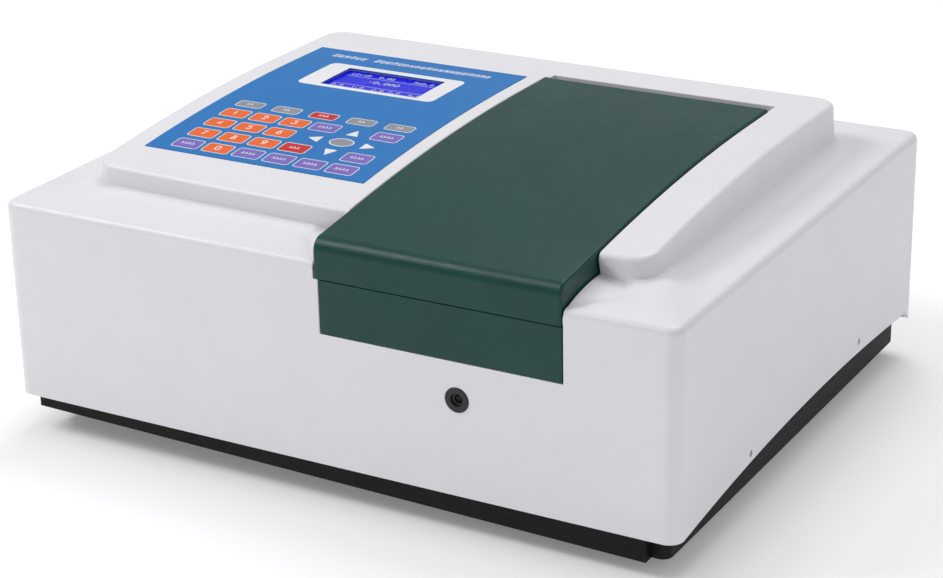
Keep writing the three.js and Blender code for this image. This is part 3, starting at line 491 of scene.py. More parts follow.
def turned(profile, axis, centre, sides=40):
    """A profile of (radius, place along the axis), turned about an axis through centre."""
    put = AXES[axis]
    verts, faces, rows = [], [], []
    for radius, along in profile:
        if radius < 1e-6:
            rows.append([len(verts)])
            verts.append(put(centre[0], centre[1], along))
            continue
        rows.append(range(len(verts), len(verts) + sides))
        for i in range(sides):
            angle = 2 * math.pi * i / sides
            u = centre[0] + radius * math.cos(angle)
            v = centre[1] + radius * math.sin(angle)
            verts.append(put(u, v, along))
    for first, second in zip(rows, rows[1:]):
        for i in range(sides):
            j = (i + 1) % sides
            if len(first) == 1 and len(second) == 1:
                continue
            if len(first) == 1:
                faces.append((first[0], second[i], second[j]))
            elif len(second) == 1:
                faces.append((first[i], first[j], second[0]))
            else:
                faces.append((first[i], first[j], second[j], second[i]))
    return raw(verts, faces)


def cylinder(radius, axis, centre, low, high, sides):
    return turned([(0, low), (radius, low), (radius, high), (0, high)], axis, centre, sides)


def rod(radius, axis, centre, low, high, edge=0.3, sides=32):
    return turned([(0, low), (radius - edge, low), (radius, low + edge), (radius, high - edge),
                   (radius - edge, high), (0, high)], axis, centre, sides)


def screw_head(x, y, z, axis, outward, radius=3.0, height=1.4):
    """A domed cross-recess screw head whose seat is at the given point."""
    u, v, w = {"x": (y, z, x), "y": (x, z, y), "z": (x, y, z)}[axis]
    profile = [(0, w - 0.3 * outward), (radius, w - 0.3 * outward)]
    for i in range(7):
        angle = math.radians(90 * i / 6)
        profile.append((radius * math.cos(angle) if i < 6 else 0, w + outward * height * math.sin(angle)))
    head = turned(profile, axis, (u, v), 28)
    arm, width = radius * 0.55, radius * 0.16
    cut = (w + outward * height * 0.35, w + outward * (height + 1))
    put = AXES[axis]
    tools = []
    for half_u, half_v in ((arm, width), (width, arm)):
        corners = [(u + a * half_u, v + b * half_v) for a, b in ((-1, -1), (1, -1), (1, 1), (-1, 1))]
        tools.append(rings_to_mesh([[put(a, b, depth) for a, b in corners] for depth in cut]))
    return boolean(head, tools)


# ------------------------------------------------------------------ cover

FRONT_STEPS = 70
CORNER_STEPS = 10
SIDE_STEPS = 60
REAR_STEPS = 24
SHOULDER_STEPS = 16
WALL_STEPS = 6
ROUND_STEPS = 7


def ring(half, front, rear, radius, bow):
    """Points round the cover from the middle of its front, mirrored about x = 0."""
    def bow_at(x):
        return bow * (x / half) ** 2
    right = []
    for i in range(FRONT_STEPS):
        x = (half - radius) * i / FRONT_STEPS
        right.append((x, front + bow_at(x)))
    corner_front = front + bow_at(half - radius) + radius
    right += arc(half - radius, corner_front, radius, -90, 0, CORNER_STEPS)
    for i in range(1, SIDE_STEPS):
        right.append((half, corner_front + (rear - radius - corner_front) * i / SIDE_STEPS))
    right += arc(half - radius, rear - radius, radius, 0, 90, CORNER_STEPS)
    for i in range(1, REAR_STEPS + 1):
        right.append(((half - radius) * (1 - i / REAR_STEPS), rear))
    left = [(-x, y) for x, y in reversed(right[1:-1])]
    return right + left


def cover_ring(inset):
    return ring(HALF - inset, inset, DEPTH - inset, max(CORNER_R - inset, 2), 0)


def top_ring(growth):
    radius = TOP_CORNER_R + growth
    return ring(TOP_HALF + growth, TOP_FRONT - growth, TOP_REAR + growth, radius, TOP_BOW)


def rim_height(y):
    return RIM_FRONT + RIM_RISE * y / DEPTH


def foot_height(y):
    along = max(0, y - TOP_FRONT) / (TOP_REAR - TOP_FRONT)
    return FOOT_Z + FOOT_RISE * math.sin(FOOT_SWELL * math.pi * along)


def raised(points, height):
    return [(x, y, height(y)) for x, y in points]


TURN_BEFORE, TURN_AFTER = 35, 60


def front_share(point):
    """1 along the front of the rim, fading to 0 round its front corners."""
    x, y, z = point
    past = y - CORNER_R if y > CORNER_R else abs(x) - (HALF - CORNER_R)
    return 1 - eased((past + TURN_BEFORE) / (TURN_BEFORE + TURN_AFTER))


COVE_SHARE = 0.62
FRONT_FULLNESS = 1.3
SHOULDER_CROWDING = 1.25
SIDE_RINGS_Z = (30, 60, 90)


def shoulder_ring(inner, outer, share):
    """The shoulder: a full slope at the front, a hollow cove along the sides and the back."""
    points = []
    for a, b in zip(inner, outer):
        ahead = front_share(b)
        hollow = 0
        if share < COVE_SHARE:
            hollow = 1 - math.sqrt(max(0, 1 - (1 - share / COVE_SHARE) ** 2))
        straight = 1 - share
        fall = ahead * straight + (1 - ahead) * hollow
        fullness = ahead * FRONT_FULLNESS * math.sin(math.pi * share) ** 0.8
        z = b[2] + (a[2] - b[2]) * fall + fullness
        points.append((a[0] + (b[0] - a[0]) * share, a[1] + (b[1] - a[1]) * share, z))
    return points


def cover_rings(inset, sink, bottom_z):
    rings = [raised(cover_ring(inset), lambda y: bottom_z)]
    for z in SIDE_RINGS_Z:
        rings.append(raised(cover_ring(inset), lambda y: z))
    radius = EDGE_R - inset
    for i in range(ROUND_STEPS + 1):
        angle = math.radians(90 * i / ROUND_STEPS)
        inward = inset + radius * (1 - math.cos(angle))
        down = sink + radius * (1 - math.sin(angle))
        rings.append(raised(cover_ring(inward), lambda y: rim_height(y) - down))
    rim = rings[-1]
    foot = raised(top_ring(1 - inset), lambda y: foot_height(y) - sink)
    for i in range(1, SHOULDER_STEPS):
        share = (1 - i / SHOULDER_STEPS) ** SHOULDER_CROWDING
        rings.append(shoulder_ring(foot, rim, share))
    for i in range(WALL_STEPS):
        lift = i / WALL_STEPS
        low = raised(top_ring(1 - inset - lift), lambda y: foot_height(y) - sink)
        high = raised(top_ring(1 - inset - lift), lambda y: top_height(y) - sink - TOP_EDGE_R)
        rings.append([(a[0], a[1], a[2] + (b[2] - a[2]) * lift) for a, b in zip(low, high)])
    for i in range(ROUND_STEPS + 1):
        angle = math.radians(90 * i / ROUND_STEPS)
        inward = TOP_EDGE_R * (1 - math.cos(angle))
        down = TOP_EDGE_R * (1 - math.sin(angle))
        rings.append(raised(top_ring(-inset - inward), lambda y: top_height(y) - sink - down))
    for more in (1.0, 3.0):
        rings.append(raised(top_ring(-inset - TOP_EDGE_R - more), lambda y: top_height(y) - sink))
    return rings


def skin(rings):
    """A closed solid from rings, with its top made of strips that run straight across."""
    verts, faces = bands(rings)
    count = len(rings[0])
    faces.append(tuple(range(count)))
    top = (len(rings) - 1) * count
    end = FRONT_STEPS + CORNER_STEPS + SIDE_STEPS + CORNER_STEPS - 1
    faces.append((top, top + 1, top + count - 1))
    for i in range(1, end):
        faces.append((top + i, top + i + 1, top + count - i - 1, top + count - i))
    faces.append(tuple(range(top + end, top + count - end + 1)))
    return raw(verts, faces)


SCOOP_DEPTH = 3.4
SCOOP_STEP = 8
SCOOP_RECESS = 3.2
SCOOP_REACH = (-6, 34)
SCOOP_LOW_Z = 118
SCOOP_HEEL = 0.15
FACET_WIDTH = 20
UNDER_SIDE, UNDER_REAR, UNDER_TOP_Z = 40, 54, 143
UNDER_FADE, UNDER_TOP_FADE = 6, 8
# The scoops' width beside the lid, as (distance back, width) pairs.
SCOOP_LEFT = ((-1, 1.5), (1, 2), (10, 11), (16.5, 17.5), (24, 23.5), (60, 23))
SCOOP_RIGHT = ((-1, 2), (2, 2.7), (11, 14.7), (21, 28), (36, 27.5), (60, 20))


def scoop_width(outline, y):
    for (y0, w0), (y1, w1) in zip(outline, outline[1:]):
        if y0 <= y <= y1:
            return w0 + (w1 - w0) * (y - y0) / (y1 - y0)
    return outline[-1][1]


def scooped(point):
    """A point of the cover, moved where it lies in one of the finger scoops beside the lid."""
    x, y, z = point
    on_right = x > (LID_X0 + LID_X1) / 2
    side = x - LID_X1 if on_right else LID_X0 - x
    beyond = side < SCOOP_REACH[0] or side > SCOOP_REACH[1]
    if beyond or y > TOP_FRONT + TOP_BOW + SCOOP_STEP or z < SCOOP_LOW_Z:
        return point
    side = max(0, side)
    foot, top = foot_height(y), top_height(y) - TOP_EDGE_R
    up = clamped((z - foot) / (top - foot))
    width = scoop_width(SCOOP_RIGHT if on_right else SCOOP_LEFT, y)
    share = min(1, side / width)
    ahead = TOP_FRONT - 1 + TOP_BOW * (x / TOP_HALF) ** 2 - y
    facet = max(0, 1 - side / FACET_WIDTH)
    if ahead > -0.05:
        step = eased((width - side) / SCOOP_STEP)
        recess = SCOOP_RECESS * facet * max(0, 1 - ahead / SCOOP_STEP)
        return (x, y + recess, z - SCOOP_DEPTH * step * (SCOOP_HEEL + (1 - SCOOP_HEEL) * share))
    wall = facet - up
    if wall > 0:
        return (x, y + SCOOP_RECESS * wall, z - SCOOP_HEEL * SCOOP_DEPTH * wall)
    return point


def under_scoop(point):
    """The cover's inner face, lowered beneath the scoops so that the wall keeps its thickness."""
    x, y, z = point
    side = max(x - LID_X1, LID_X0 - x, 0)
    if z < SCOOP_LOW_Z or z > UNDER_TOP_Z:
        return point
    share = clamped((UNDER_SIDE - side) / UNDER_FADE) * clamped((UNDER_REAR - y) / UNDER_FADE)
    return (x, y, z - SCOOP_DEPTH * share * clamped((UNDER_TOP_Z - z) / UNDER_TOP_FADE))


def section(mesh, x):
    """The line in which a mesh meets the plane at x, as (y, z) points from the front face to the back."""
    fresh = bmesh.new()
    fresh.from_mesh(mesh)
    place = at(x, 0, 0)
    geometry = fresh.verts[:] + fresh.edges[:] + fresh.faces[:]
    found = bmesh.ops.bisect_plane(fresh, geom=geometry, plane_co=place, plane_no=(1, 0, 0),
                                   clear_inner=True, clear_outer=True)
    edges = [e for e in found["geom_cut"] if isinstance(e, bmesh.types.BMEdge)]
    near = {}
    for edge in edges:
        a, b = edge.verts
        near.setdefault(a, []).append(b)
        near.setdefault(b, []).append(a)
    start = min(near, key=lambda v: (round(v.co.z, 5), v.co.y))
    line, last, now = [start], None, start
    while True:
        onward = [v for v in near[now] if v is not last and v is not start]
        if not onward:
            break
        last, now = now, onward[0]
        line.append(now)
    points = [((v.co.y - ORIGIN.y) / MM, (v.co.z - ORIGIN.z) / MM) for v in line]
    fresh.free()
    if len(points) > 2 and points[1][0] > DEPTH / 2:
        points = [points[0]] + points[:0:-1]
    return points


def chamfer_bar(line, x, outward, size):
    """A bar along a line of (y, z) points that cuts a chamfer into the edge at x."""
    rings = []
    for i, (y, z) in enumerate(line):
        before = line[max(0, i - 1)]
        after = line[min(len(line) - 1, i + 1)]
        run, rise = after[0] - before[0], after[1] - before[1]
        length = math.hypot(run, rise)
        ny, nz = -rise / length, run / length
        corners = [(x - outward * 2, -size), (x, -size),
                   (x + outward * 2 * size, size), (x - outward * 2, size)]
        rings.append([(cx, y + ny * n, z + nz * n) for cx, n in corners])
    return rings_to_mesh(rings)


def thinned(line, step):
    kept = [line[0]]
    for point in line[1:-1]:
        if math.dist(point, kept[-1]) >= step:
            kept.append(point)
    return kept + [line[-1]]


overlay_low, overlay_high = local_box("keypad_overlay")
window_low, window_high = local_box("display_window")
panel_low, panel_high = local_box("front_panel")
bush_low, bush_high = local_box("rod_bush")
ROD_X = (bush_low.x + bush_high.x) / 2
ROD_Z = (bush_low.z + bush_high.z) / 2
BUSH_R = bush_high.x - ROD_X
BUSH_FLANGE = 1.6
RECESS_FLOOR, RECESS_REAR, RECESS_X0, RECESS_CORNER = 139, 293, 2, 286.8
ARCH_CROWN, ARCH_Y, ARCH_SPREAD, ARCH_END = 13.3, 222, 58.5, 358
SIDE_SCREWS = ((100.8, 14.4), (272.3, 20))
SIDE_SCREW_HOLE_R = 2.2
REAR_OPENING = (-190, 190, DEPTH - WALL - 1, DEPTH + 2, -9, 92)
BEYOND = 5  # how far a cutter runs past what it cuts


def around(low, high, margin=0):
    """The (x0, x1, y0, y1) of a box seen from above, grown by a margin."""
    return low.x - margin, high.x + margin, low.y - margin, high.y + margin


def on_top(points, low, high, step=4):
    """A sheet over a rectangle (x0, x1, y0, y1) that follows the raised top between two offsets."""
    x0, x1, y0, y1 = points
    count = max(1, math.ceil((y1 - y0) / step))
    line = [y0 + (y1 - y0) * i / count for i in range(count + 1)]
    lower = [(y, top_height(y) + low) for y in line]
    upper = [(y, top_height(y) + high) for y in reversed(line)]
    return prism_x(lower + upper, x0, x1)


def side_arch():
    start = ARCH_Y - ARCH_SPREAD * math.sqrt(ARCH_CROWN)
    points = [(start, -20), (DEPTH - WALL, -20), (DEPTH - WALL, 0)]
    steps = 40
    for i in range(steps, -1, -1):
        y = start + (ARCH_END - start) * i / steps
        points.append((y, ARCH_CROWN - ((y - ARCH_Y) / ARCH_SPREAD) ** 2))
    return prism_x(points, -HALF - 5, HALF + 5)


def flared_y(outline, y_in, y_edge, size):
    """A hole through the front face, with a small chamfer at its mouth."""
    def grown(points, by):
        cu = sum(p[0] for p in points) / len(points)
        cv = sum(p[1] for p in points) / len(points)
        return [(u + math.copysign(by, u - cu), v + math.copysign(by, v - cv)) for u, v in points]
    rings = [[(u, y_in, v) for u, v in outline], [(u, y_edge + size, v) for u, v in outline],
             [(u, y_edge - size, v) for u, v in grown(outline, 2 * size)]]
    return rings_to_mesh(rings)


def key_matrix(x, y):
    return Matrix.Translation((x, y, top_height(y))) @ Matrix.Rotation(top_slope(y), 4, "X")


def tilted(points, x, y, z):
    """Flat points in a key's own plane, at height z, as millimetre points."""
    m = key_matrix(x, y)
    return [tuple(m @ Vector((u, v, z))) for u, v in points]


def key_list():
    """Each key's name, middle and size, as they lie on the overlay."""
    keys = []
    for name in NODES:
        if not name.startswith("key_"):
            continue
        low, high = local_box(name)
        keys.append((name, (low.x + high.x) / 2, (low.y + high.y) / 2, high.x - low.x, high.y - low.y))
    return sorted(keys)


SLOTS = {row["node"]: row["material_slot"] for row in frame["record"]["subparts"]}
ARROW_TURN = {"key_up": 0, "key_down": math.pi, "key_left": math.pi / 2, "key_right": -math.pi / 2}
ARROW_SIZE = 9


def key_outline(name, width, depth, margin, steps=5):
    if name in ARROW_TURN:
        reach = ARROW_SIZE / 2 + margin * 1.5
        turn = ARROW_TURN[name]
        corners = [(0, reach), (-reach, -reach + margin), (reach, -reach + margin)]
        soft = []
        for i, corner in enumerate(corners):
            before, after = Vector(corners[i - 1]), Vector(corners[(i + 1) % 3])
            corner = Vector(corner)
            a = corner + (before - corner).normalized() * 1.0
            b = corner + (after - corner).normalized() * 1.0
            for k in range(steps + 1):
                t = k / steps
                soft.append(a.lerp(corner, t).lerp(corner.lerp(b, t), t))
        cosine, sine = math.cos(turn), math.sin(turn)
        return [(u * cosine - v * sine, u * sine + v * cosine) for u, v in soft]
    return rounded(width + 2 * margin, depth + 2 * margin, 1.6 + margin, steps)


def key_holes(margin, depth):
    tools = []
    for name, x, y, width, deep in key_list():
        points = key_outline(name, width, deep, margin)
        tools.append(rings_to_mesh([tilted(points, x, y, z) for z in (-depth, 4)]))
    return merged(tools)


# Dark strips of painted shade in the lid's seams, and how thick they are.
SEAM_SHADE_STRIPS = []
SEAM_SHADE_THICK = 0.45
SEAM_CHAMFER = 0.45


def seam_shade_strip(line, x, outward):
    """Painted shade: a dark strip in the seam between the cover's cut edge and the lid, just below the
    cover's face, standing in for the shade in the gap.
    """
    near = [(y + 1.0, z - 0.6) for y, z in line]
    far = [(y + 4, z - 6) for y, z in line]
    inner = x - outward * SEAM_SHADE_THICK
    return prism_x(near + far[::-1], min(x, inner), max(x, inner))


def build_cover():
    rings = cover_rings(0, 0, -6)
    outer = skin([[scooped(p) for p in one] for one in rings])
    left_x, right_x = LID_X0 - SEAM, LID_X1 + SEAM
    bars = []
    for x, outward in ((left_x, -1), (right_x, 1)):
        line = [p for p in section(outer, x) if p[1] > LID_LIP_Z - 1.5 and p[0] < LID_REAR + SEAM + 0.5]
        line = thinned(line, 0.8)
        bars.append(chamfer_bar(line, x, outward, SEAM_CHAMFER))
        SEAM_SHADE_STRIPS.append(seam_shade_strip([p for p in line if p[0] < LID_REAR - 4], x, outward))
    inner = skin([[under_scoop(p) for p in one] for one in cover_rings(WALL, WALL, -9)])
    shell = boolean(outer, [inner])
    tub = block(left_x - WALL, right_x + WALL, LID_REAR - WALL, RECESS_REAR + WALL,
                RECESS_FLOOR - WALL, TOP_Z - 2)
    shell = boolean(shell, [tub], "UNION")
    panel = [(panel_low.x - 0.5, panel_low.z - 0.5), (right_x - 0.05, panel_low.z - 0.5),
             (right_x - 0.05, LID_LIP_Z + 1), (panel_low.x - 0.5, LID_LIP_Z + 1)]
    display = (*around(window_low, window_high, 2), TOP_Z - 12, TOP_Z + BEYOND)
    seat = around(overlay_low, overlay_high, 0.25)
    tools = [
        block(-HALF - BEYOND, HALF + BEYOND, -BEYOND, DEPTH + BEYOND, -20, 0),
        side_arch(),
        block(RECESS_X0, right_x, LID_REAR, RECESS_REAR, RECESS_FLOOR, TOP_Z + BEYOND),
        block(left_x, RECESS_X0 + 1, LID_REAR, RECESS_CORNER, RECESS_FLOOR, TOP_Z + BEYOND),
        block(left_x, right_x, -BEYOND, LID_REAR + SEAM, LID_LIP_Z - 0.5, TOP_Z + 20),
        *bars,
        prism_x([(RECESS_REAR - 1, TOP_Z - 0.4), (RECESS_REAR, TOP_Z - 0.4),
                 (RECESS_REAR + 0.9, TOP_Z + 0.5), (RECESS_REAR - 1, TOP_Z + 0.5)], RECESS_X0, right_x),
        flared_y(panel, WALL + 2, 0, 0.4),
        block(*display),
        on_top(seat, -0.85, 5),
        cylinder(BUSH_R - BUSH_FLANGE, "y", (ROD_X, ROD_Z), -BEYOND, WALL + BEYOND, 48),
        block(*REAR_OPENING),
        merged([cylinder(SIDE_SCREW_HOLE_R, "x", place, x0, x1, 23) for place in SIDE_SCREWS
                for x0, x1 in ((-HALF - BEYOND, -HALF + 8), (HALF - 8, HALF + BEYOND))]),
        key_holes(0.3, 1.6),
    ]
    return boolean(shell, tools)


piece("cover_shell", build_cover(), [COVER], "chassis", ["main_cover"])
# painted shade: a dark strip down each side of the lid's seam, where the gap is only shaded
piece("lid_seam_painted_shade", merged(SEAM_SHADE_STRIPS), [SEAM_SHADE], "chassis")

screws = []
for y, z in SIDE_SCREWS:
    for side in (-1, 1):
        screws.append(screw_head(side * (HALF - 0.9), y, z, "x", side, 2.0, 0.8))
piece("side_screws", merged(screws), [STEEL], "chassis")


# ------------------------------------------------------------------ lid

def lid_line(y0, y1, offset, steps=60):
    return [(y0 + (y1 - y0) * i / steps, lid_top_height(y0 + (y1 - y0) * i / steps) + offset)
            for i in range(steps + 1)]


def lid_nose(front, radius, offset, steps=14):
    centre = front + radius
    return arc(centre, lid_top_height(centre) + offset - radius, radius, 180, 93, steps)


def build_lid():
    crown = [(LID_FRONT, LID_LIP_Z), *lid_nose(LID_FRONT, LID_NOSE_R, 0),
             *lid_line(LID_FRONT + LID_NOSE_R + 2, LID_REAR, 0)]
    below = [(LID_REAR, HINGE_Z - 6), (HINGE_Y + 3, HINGE_Z - 9), (HINGE_Y - 12, HINGE_Z - 13),
             (70, LID_SKIRT_Z), (LID_FRONT + LID_WALL, LID_SKIRT_Z), (LID_FRONT + LID_WALL, LID_LIP_Z)]
    points = crown + below
    shell = prism_x(points, LID_X0, LID_X1)
    fresh = bmesh.new()
    fresh.from_mesh(shell)
    fresh.verts.ensure_lookup_table()
    count = len(points)
    edges = []
    for side in (0, 1):
        for i in range(len(crown) - 1):
            a, b = fresh.verts[side * count + i], fresh.verts[side * count + i + 1]
            edges.append(fresh.edges.get((a, b)))
    bmesh.ops.bevel(fresh, geom=edges, offset=LID_EDGE_R * MM, segments=5, profile=0.5, affect="EDGES")
    fresh.to_mesh(shell)
    fresh.free()
    inner_rear = LID_REAR - LID_SKIN
    inner_front = LID_FRONT + LID_WALL
    hollow = prism_x([
        (inner_front, LID_LIP_Z - BEYOND), *lid_nose(inner_front, LID_NOSE_R - LID_WALL, -LID_SKIN),
        *lid_line(LID_FRONT + LID_NOSE_R + LID_WALL, inner_rear, -LID_SKIN),
        (inner_rear, HINGE_Z + 1), (LID_REAR + BEYOND, HINGE_Z + 1), (LID_REAR + BEYOND, LID_LIP_Z - BEYOND),
    ], LID_X0 + LID_WALL, LID_X1 - LID_WALL)
    notches = [block(x - HINGE_LUG_W / 2 - 1, x + HINGE_LUG_W / 2 + 1, HINGE_Y, LID_REAR + BEYOND,
                     HINGE_Z - 20, lid_top_height(LID_REAR) - LID_SKIN) for x in HINGE_LUG_X]
    bore = cylinder(HINGE_BORE_R, "x", (HINGE_Y, HINGE_Z), LID_X0 - BEYOND, LID_X1 + BEYOND, 32)
    return boolean(shell, [hollow, *notches, bore])


piece("lid_shell", build_lid(), [LID], "lid", ["lid"])

# Ribs under the lid.
RIB_X = (26, 52.5, 79, 105.5, 132)
RIB_Y = (40, 160, 215)
ribs = []
for x in RIB_X:
    line = lid_line(LID_FRONT + 14, 250, -LID_SKIN + 0.3, 24)
    lower = [(y, z - 3.2) for y, z in reversed(line)]
    ribs.append(prism_x(line + lower, x - 0.8, x + 0.8))
for y in RIB_Y:
    z = lid_top_height(y) - LID_SKIN
    ribs.append(block(LID_X0 + 2.8, LID_X1 - 2.8, y - 0.8, y + 0.8, z - 2.8, z + 0.4))
piece("lid_ribs", merged(ribs), [LID], "lid")


# ------------------------------------------------------------------ front panel, bush and rod

def build_panel():
    plate = soft_block(panel_low.x, panel_high.x, panel_low.y, panel_low.y + 2.5,
                       panel_low.z, panel_high.z, 0.5, 3)
    bosses = [rod(4, "y", (x, 96), 2.3, panel_high.y, 0.3, 24) for x in (14, 147)]
    return merged([plate, *bosses])


piece("front_panel_plate", build_panel(), [LID], "chassis", ["front_panel"])

bush = turned([
    (2.6, 10.6), (BUSH_R - 2, 10.6), (BUSH_R - 2, 0.05), (BUSH_R, 0.02), (BUSH_R, bush_low.y + 0.35),
    (BUSH_R - 0.4, bush_low.y), (4.6, bush_low.y), (4.1, bush_low.y + 0.2),
    (3.6, 1.6), (2.6, 2.0), (2.6, 10.6),
], "y", (ROD_X, ROD_Z), 56)
piece("rod_bush_ring", bush, [BLACK], "chassis", ["rod_bush"])

rod_low, rod_high = local_box("pull_rod")
ROD_R = (rod_high.x - rod_low.x) / 2
pull = turned([
    (0, rod_low.y + 0.4), (1.0, rod_low.y + 0.3), (ROD_R - 0.5, rod_low.y), (ROD_R, rod_low.y + 0.5),
    (ROD_R, rod_high.y - 0.3), (ROD_R - 0.3, rod_high.y), (0, rod_high.y),
], "y", (ROD_X, ROD_Z), 40)
piece("pull_rod_bar", pull, [BLACKENED], "carriage", ["pull_rod"])


# ------------------------------------------------------------------ keypad overlay, keys and display

sheet = on_top(around(overlay_low, overlay_high), -0.6, 0.3)
window_cut = block(*around(window_low, window_high, 0.3), TOP_Z - 12, TOP_Z + 6)
sheet = boolean(sheet, [window_cut, key_holes(0.12, 1.6)])
piece("overlay_sheet", sheet, [OVERLAY], "chassis", ["keypad_overlay"])

PRINT_LOW, PRINT_HIGH = 0.28, 0.36


def printed(points_sets, low=PRINT_LOW, high=PRINT_HIGH):
    """Flat outlines printed on the curved overlay, as one thin raised layer."""
    return merged([rings_to_mesh([[(x, y, top_height(y) + z) for x, y in points] for z in (low, high)])
                   for points in points_sets])


def matched(first, second, step=4):
    """Two outlines with the same number of points, with points added along their long sides."""
    pairs = []
    for i in range(len(first)):
        j = (i + 1) % len(first)
        longest = max(math.dist(first[i], first[j]), math.dist(second[i], second[j]))
        parts = max(1, math.ceil(longest / step))
        for k in range(parts):
            t = k / parts
            pairs.append([tuple(a + (b - a) * t for a, b in zip(line[i], line[j]))
                          for line in (first, second)])
    return [pair[0] for pair in pairs], [pair[1] for pair in pairs]


def printed_ring(outer, inner, low=PRINT_LOW, high=PRINT_HIGH):
    """A printed band between two outlines with the same number of points."""
    outer, inner = matched(outer, inner)
    count = len(outer)
    verts = []
    for z in (low, high):
        for points in (outer, inner):
            verts += [(x, y, top_height(y) + z) for x, y in points]
    faces = []
    for i in range(count):
        j = (i + 1) % count
        low_out, low_in, high_out, high_in = 0, count, 2 * count, 3 * count
        faces.append((low_out + i, low_out + j, low_in + j, low_in + i))
        faces.append((high_out + j, high_out + i, high_in + i, high_in + j))
        faces.append((low_out + j, low_out + i, high_out + i, high_out + j))
        faces.append((low_in + i, low_in + j, high_in + j, high_in + i))
    return raw(verts, faces)


def ribbon(points, width):
    """Outlines of a stroke of even width along a line of points."""
    left, right = [], []
    for i, (x, y) in enumerate(points):
        before = points[max(0, i - 1)]
        after = points[min(len(points) - 1, i + 1)]
        dx, dy = after[0] - before[0], after[1] - before[1]
        length = math.hypot(dx, dy) or 1
        nx, ny = -dy / length * width / 2, dx / length * width / 2
        left.append((x + nx, y + ny))
        right.append((x - nx, y - ny))
    return [[left[i], left[i + 1], right[i + 1], right[i]] for i in range(len(points) - 1)]


BEZEL = (-146, -42, 205, 252.5)
bezel_mid = ((BEZEL[0] + BEZEL[1]) / 2, (BEZEL[2] + BEZEL[3]) / 2)
bezel_outer = rounded(BEZEL[1] - BEZEL[0], BEZEL[3] - BEZEL[2], 5, 6, *bezel_mid)
window_mid = ((window_low.x + window_high.x) / 2, (window_low.y + window_high.y) / 2)
bezel_inner = rounded(window_high.x - window_low.x + 0.8, window_high.y - window_low.y + 0.8, 0.5, 6,
                      *window_mid)
pale_prints = [printed_ring(bezel_outer, bezel_inner)]

PAD_X, PAD_Y, PAD_RX, PAD_RY = -57.7, 122.2, 8.6, 6.15
disc = [(PAD_X + PAD_RX * math.cos(2 * math.pi * i / 40), PAD_Y + PAD_RY * math.sin(2 * math.pi * i / 40))
        for i in range(40)]
disc_inner = [(PAD_X + (x - PAD_X) * 0.9, PAD_Y + (y - PAD_Y) * 0.87) for x, y in disc]
pale_prints.append(printed_ring(disc, disc_inner))
for name, x, y, width, deep in key_list():
    if name in ARROW_TURN:
        continue
    outer = [(x + u, y + v) for u, v in key_outline(name, width, deep, 0.75)]
    inner = [(x + u, y + v) for u, v in key_outline(name, width, deep, 0.14)]
    pale_prints.append(printed_ring(outer, inner))

# A row of plain upright strokes along the overlay's head, in two groups.
TITLE_Y = 265.2
TITLE_FIRST, TITLE_SECOND, TITLE_END = -156.0, -122.5, -33
TITLE_GAP = (-130, -123)
TITLE_TALL, TITLE_HEIGHTS = 6.2, (4.6, 5.0, 5.4)
TITLE_LEAN, TITLE_STROKE, TITLE_PITCH = 1.2, 0.95, 4.5
random.seed(7)
strokes, x = [], TITLE_FIRST
while x < TITLE_END:
    if TITLE_GAP[0] < x < TITLE_GAP[1]:
        x = TITLE_SECOND
    height = TITLE_TALL if x in (TITLE_FIRST, TITLE_SECOND) else random.choice(TITLE_HEIGHTS)
    second = random.choice((1.9, 2.3))
    for dx in (0, second):
        left, right = x + dx, x + dx + TITLE_STROKE
        strokes.append([(left, TITLE_Y), (right, TITLE_Y), (right + TITLE_LEAN, TITLE_Y + height),
                        (left + TITLE_LEAN, TITLE_Y + height)])
    bar = random.choice((0, 0.5, 1)) * (height - 1.0)
    shift = TITLE_LEAN * bar / height
    strokes.append([(x + 0.9 + shift, TITLE_Y + bar), (x + second + shift, TITLE_Y + bar),
                    (x + second + 0.2 + shift, TITLE_Y + 1.0 + bar), (x + 1.1 + shift, TITLE_Y + 1.0 + bar)])
    x += TITLE_PITCH
pale_prints.append(printed(strokes))
piece("overlay_white_print", merged(pale_prints), [PALE], "chassis")
piece("overlay_pad_print", printed([disc_inner]), [GREY], "chassis")

GLYPHS = {
    "0": [(0, .3), (0, .7), (.12, .92), (.3, 1), (.48, .92), (.6, .7), (.6, .3), (.48, .08), (.3, 0),
          (.12, .08), (0, .3)],
    "1": [(.1, .78), (.3, 1), (.3, 0)],
    "2": [(0, .75), (.1, .93), (.3, 1), (.5, .93), (.6, .72), (.5, .5), (0, 0), (.6, 0)],
    "3": [(0, 1), (.58, 1), (.26, .6), (.46, .56), (.6, .36), (.55, .12), (.3, 0), (.1, .05),
          (0, .2)],
    "4": [(.45, 0), (.45, 1), (0, .3), (.62, .3)],
    "5": [(.56, 1), (.08, 1), (.04, .56), (.3, .64), (.55, .52), (.6, .3), (.5, .08), (.28, 0),
          (.08, .06), (0, .2)],
    "6": [(.5, 1), (.16, .72), (0, .35), (.08, .1), (.3, 0), (.52, .1), (.6, .3), (.5, .52), (.3, .58),
          (.06, .42)],
    "7": [(0, 1), (.6, 1), (.36, .5), (.24, 0)],
    "8": [(.3, .55), (.1, .68), (.08, .86), (.3, 1), (.52, .86), (.5, .68), (.3, .55), (.06, .38),
          (.04, .14), (.3, 0), (.56, .14), (.54, .38), (.3, .55)],
    "9": [(.1, 0), (.44, .28), (.6, .65), (.52, .9), (.3, 1), (.08, .9), (0, .7), (.1, .48), (.3, .42),
          (.54, .58)],
}
KEY_PAINT = {"key_orange": ORANGE, "key_purple": PURPLE, "key_red": RED, "key_grey": GREY, "key_white": PALE}
KEY_FACE = 0.62


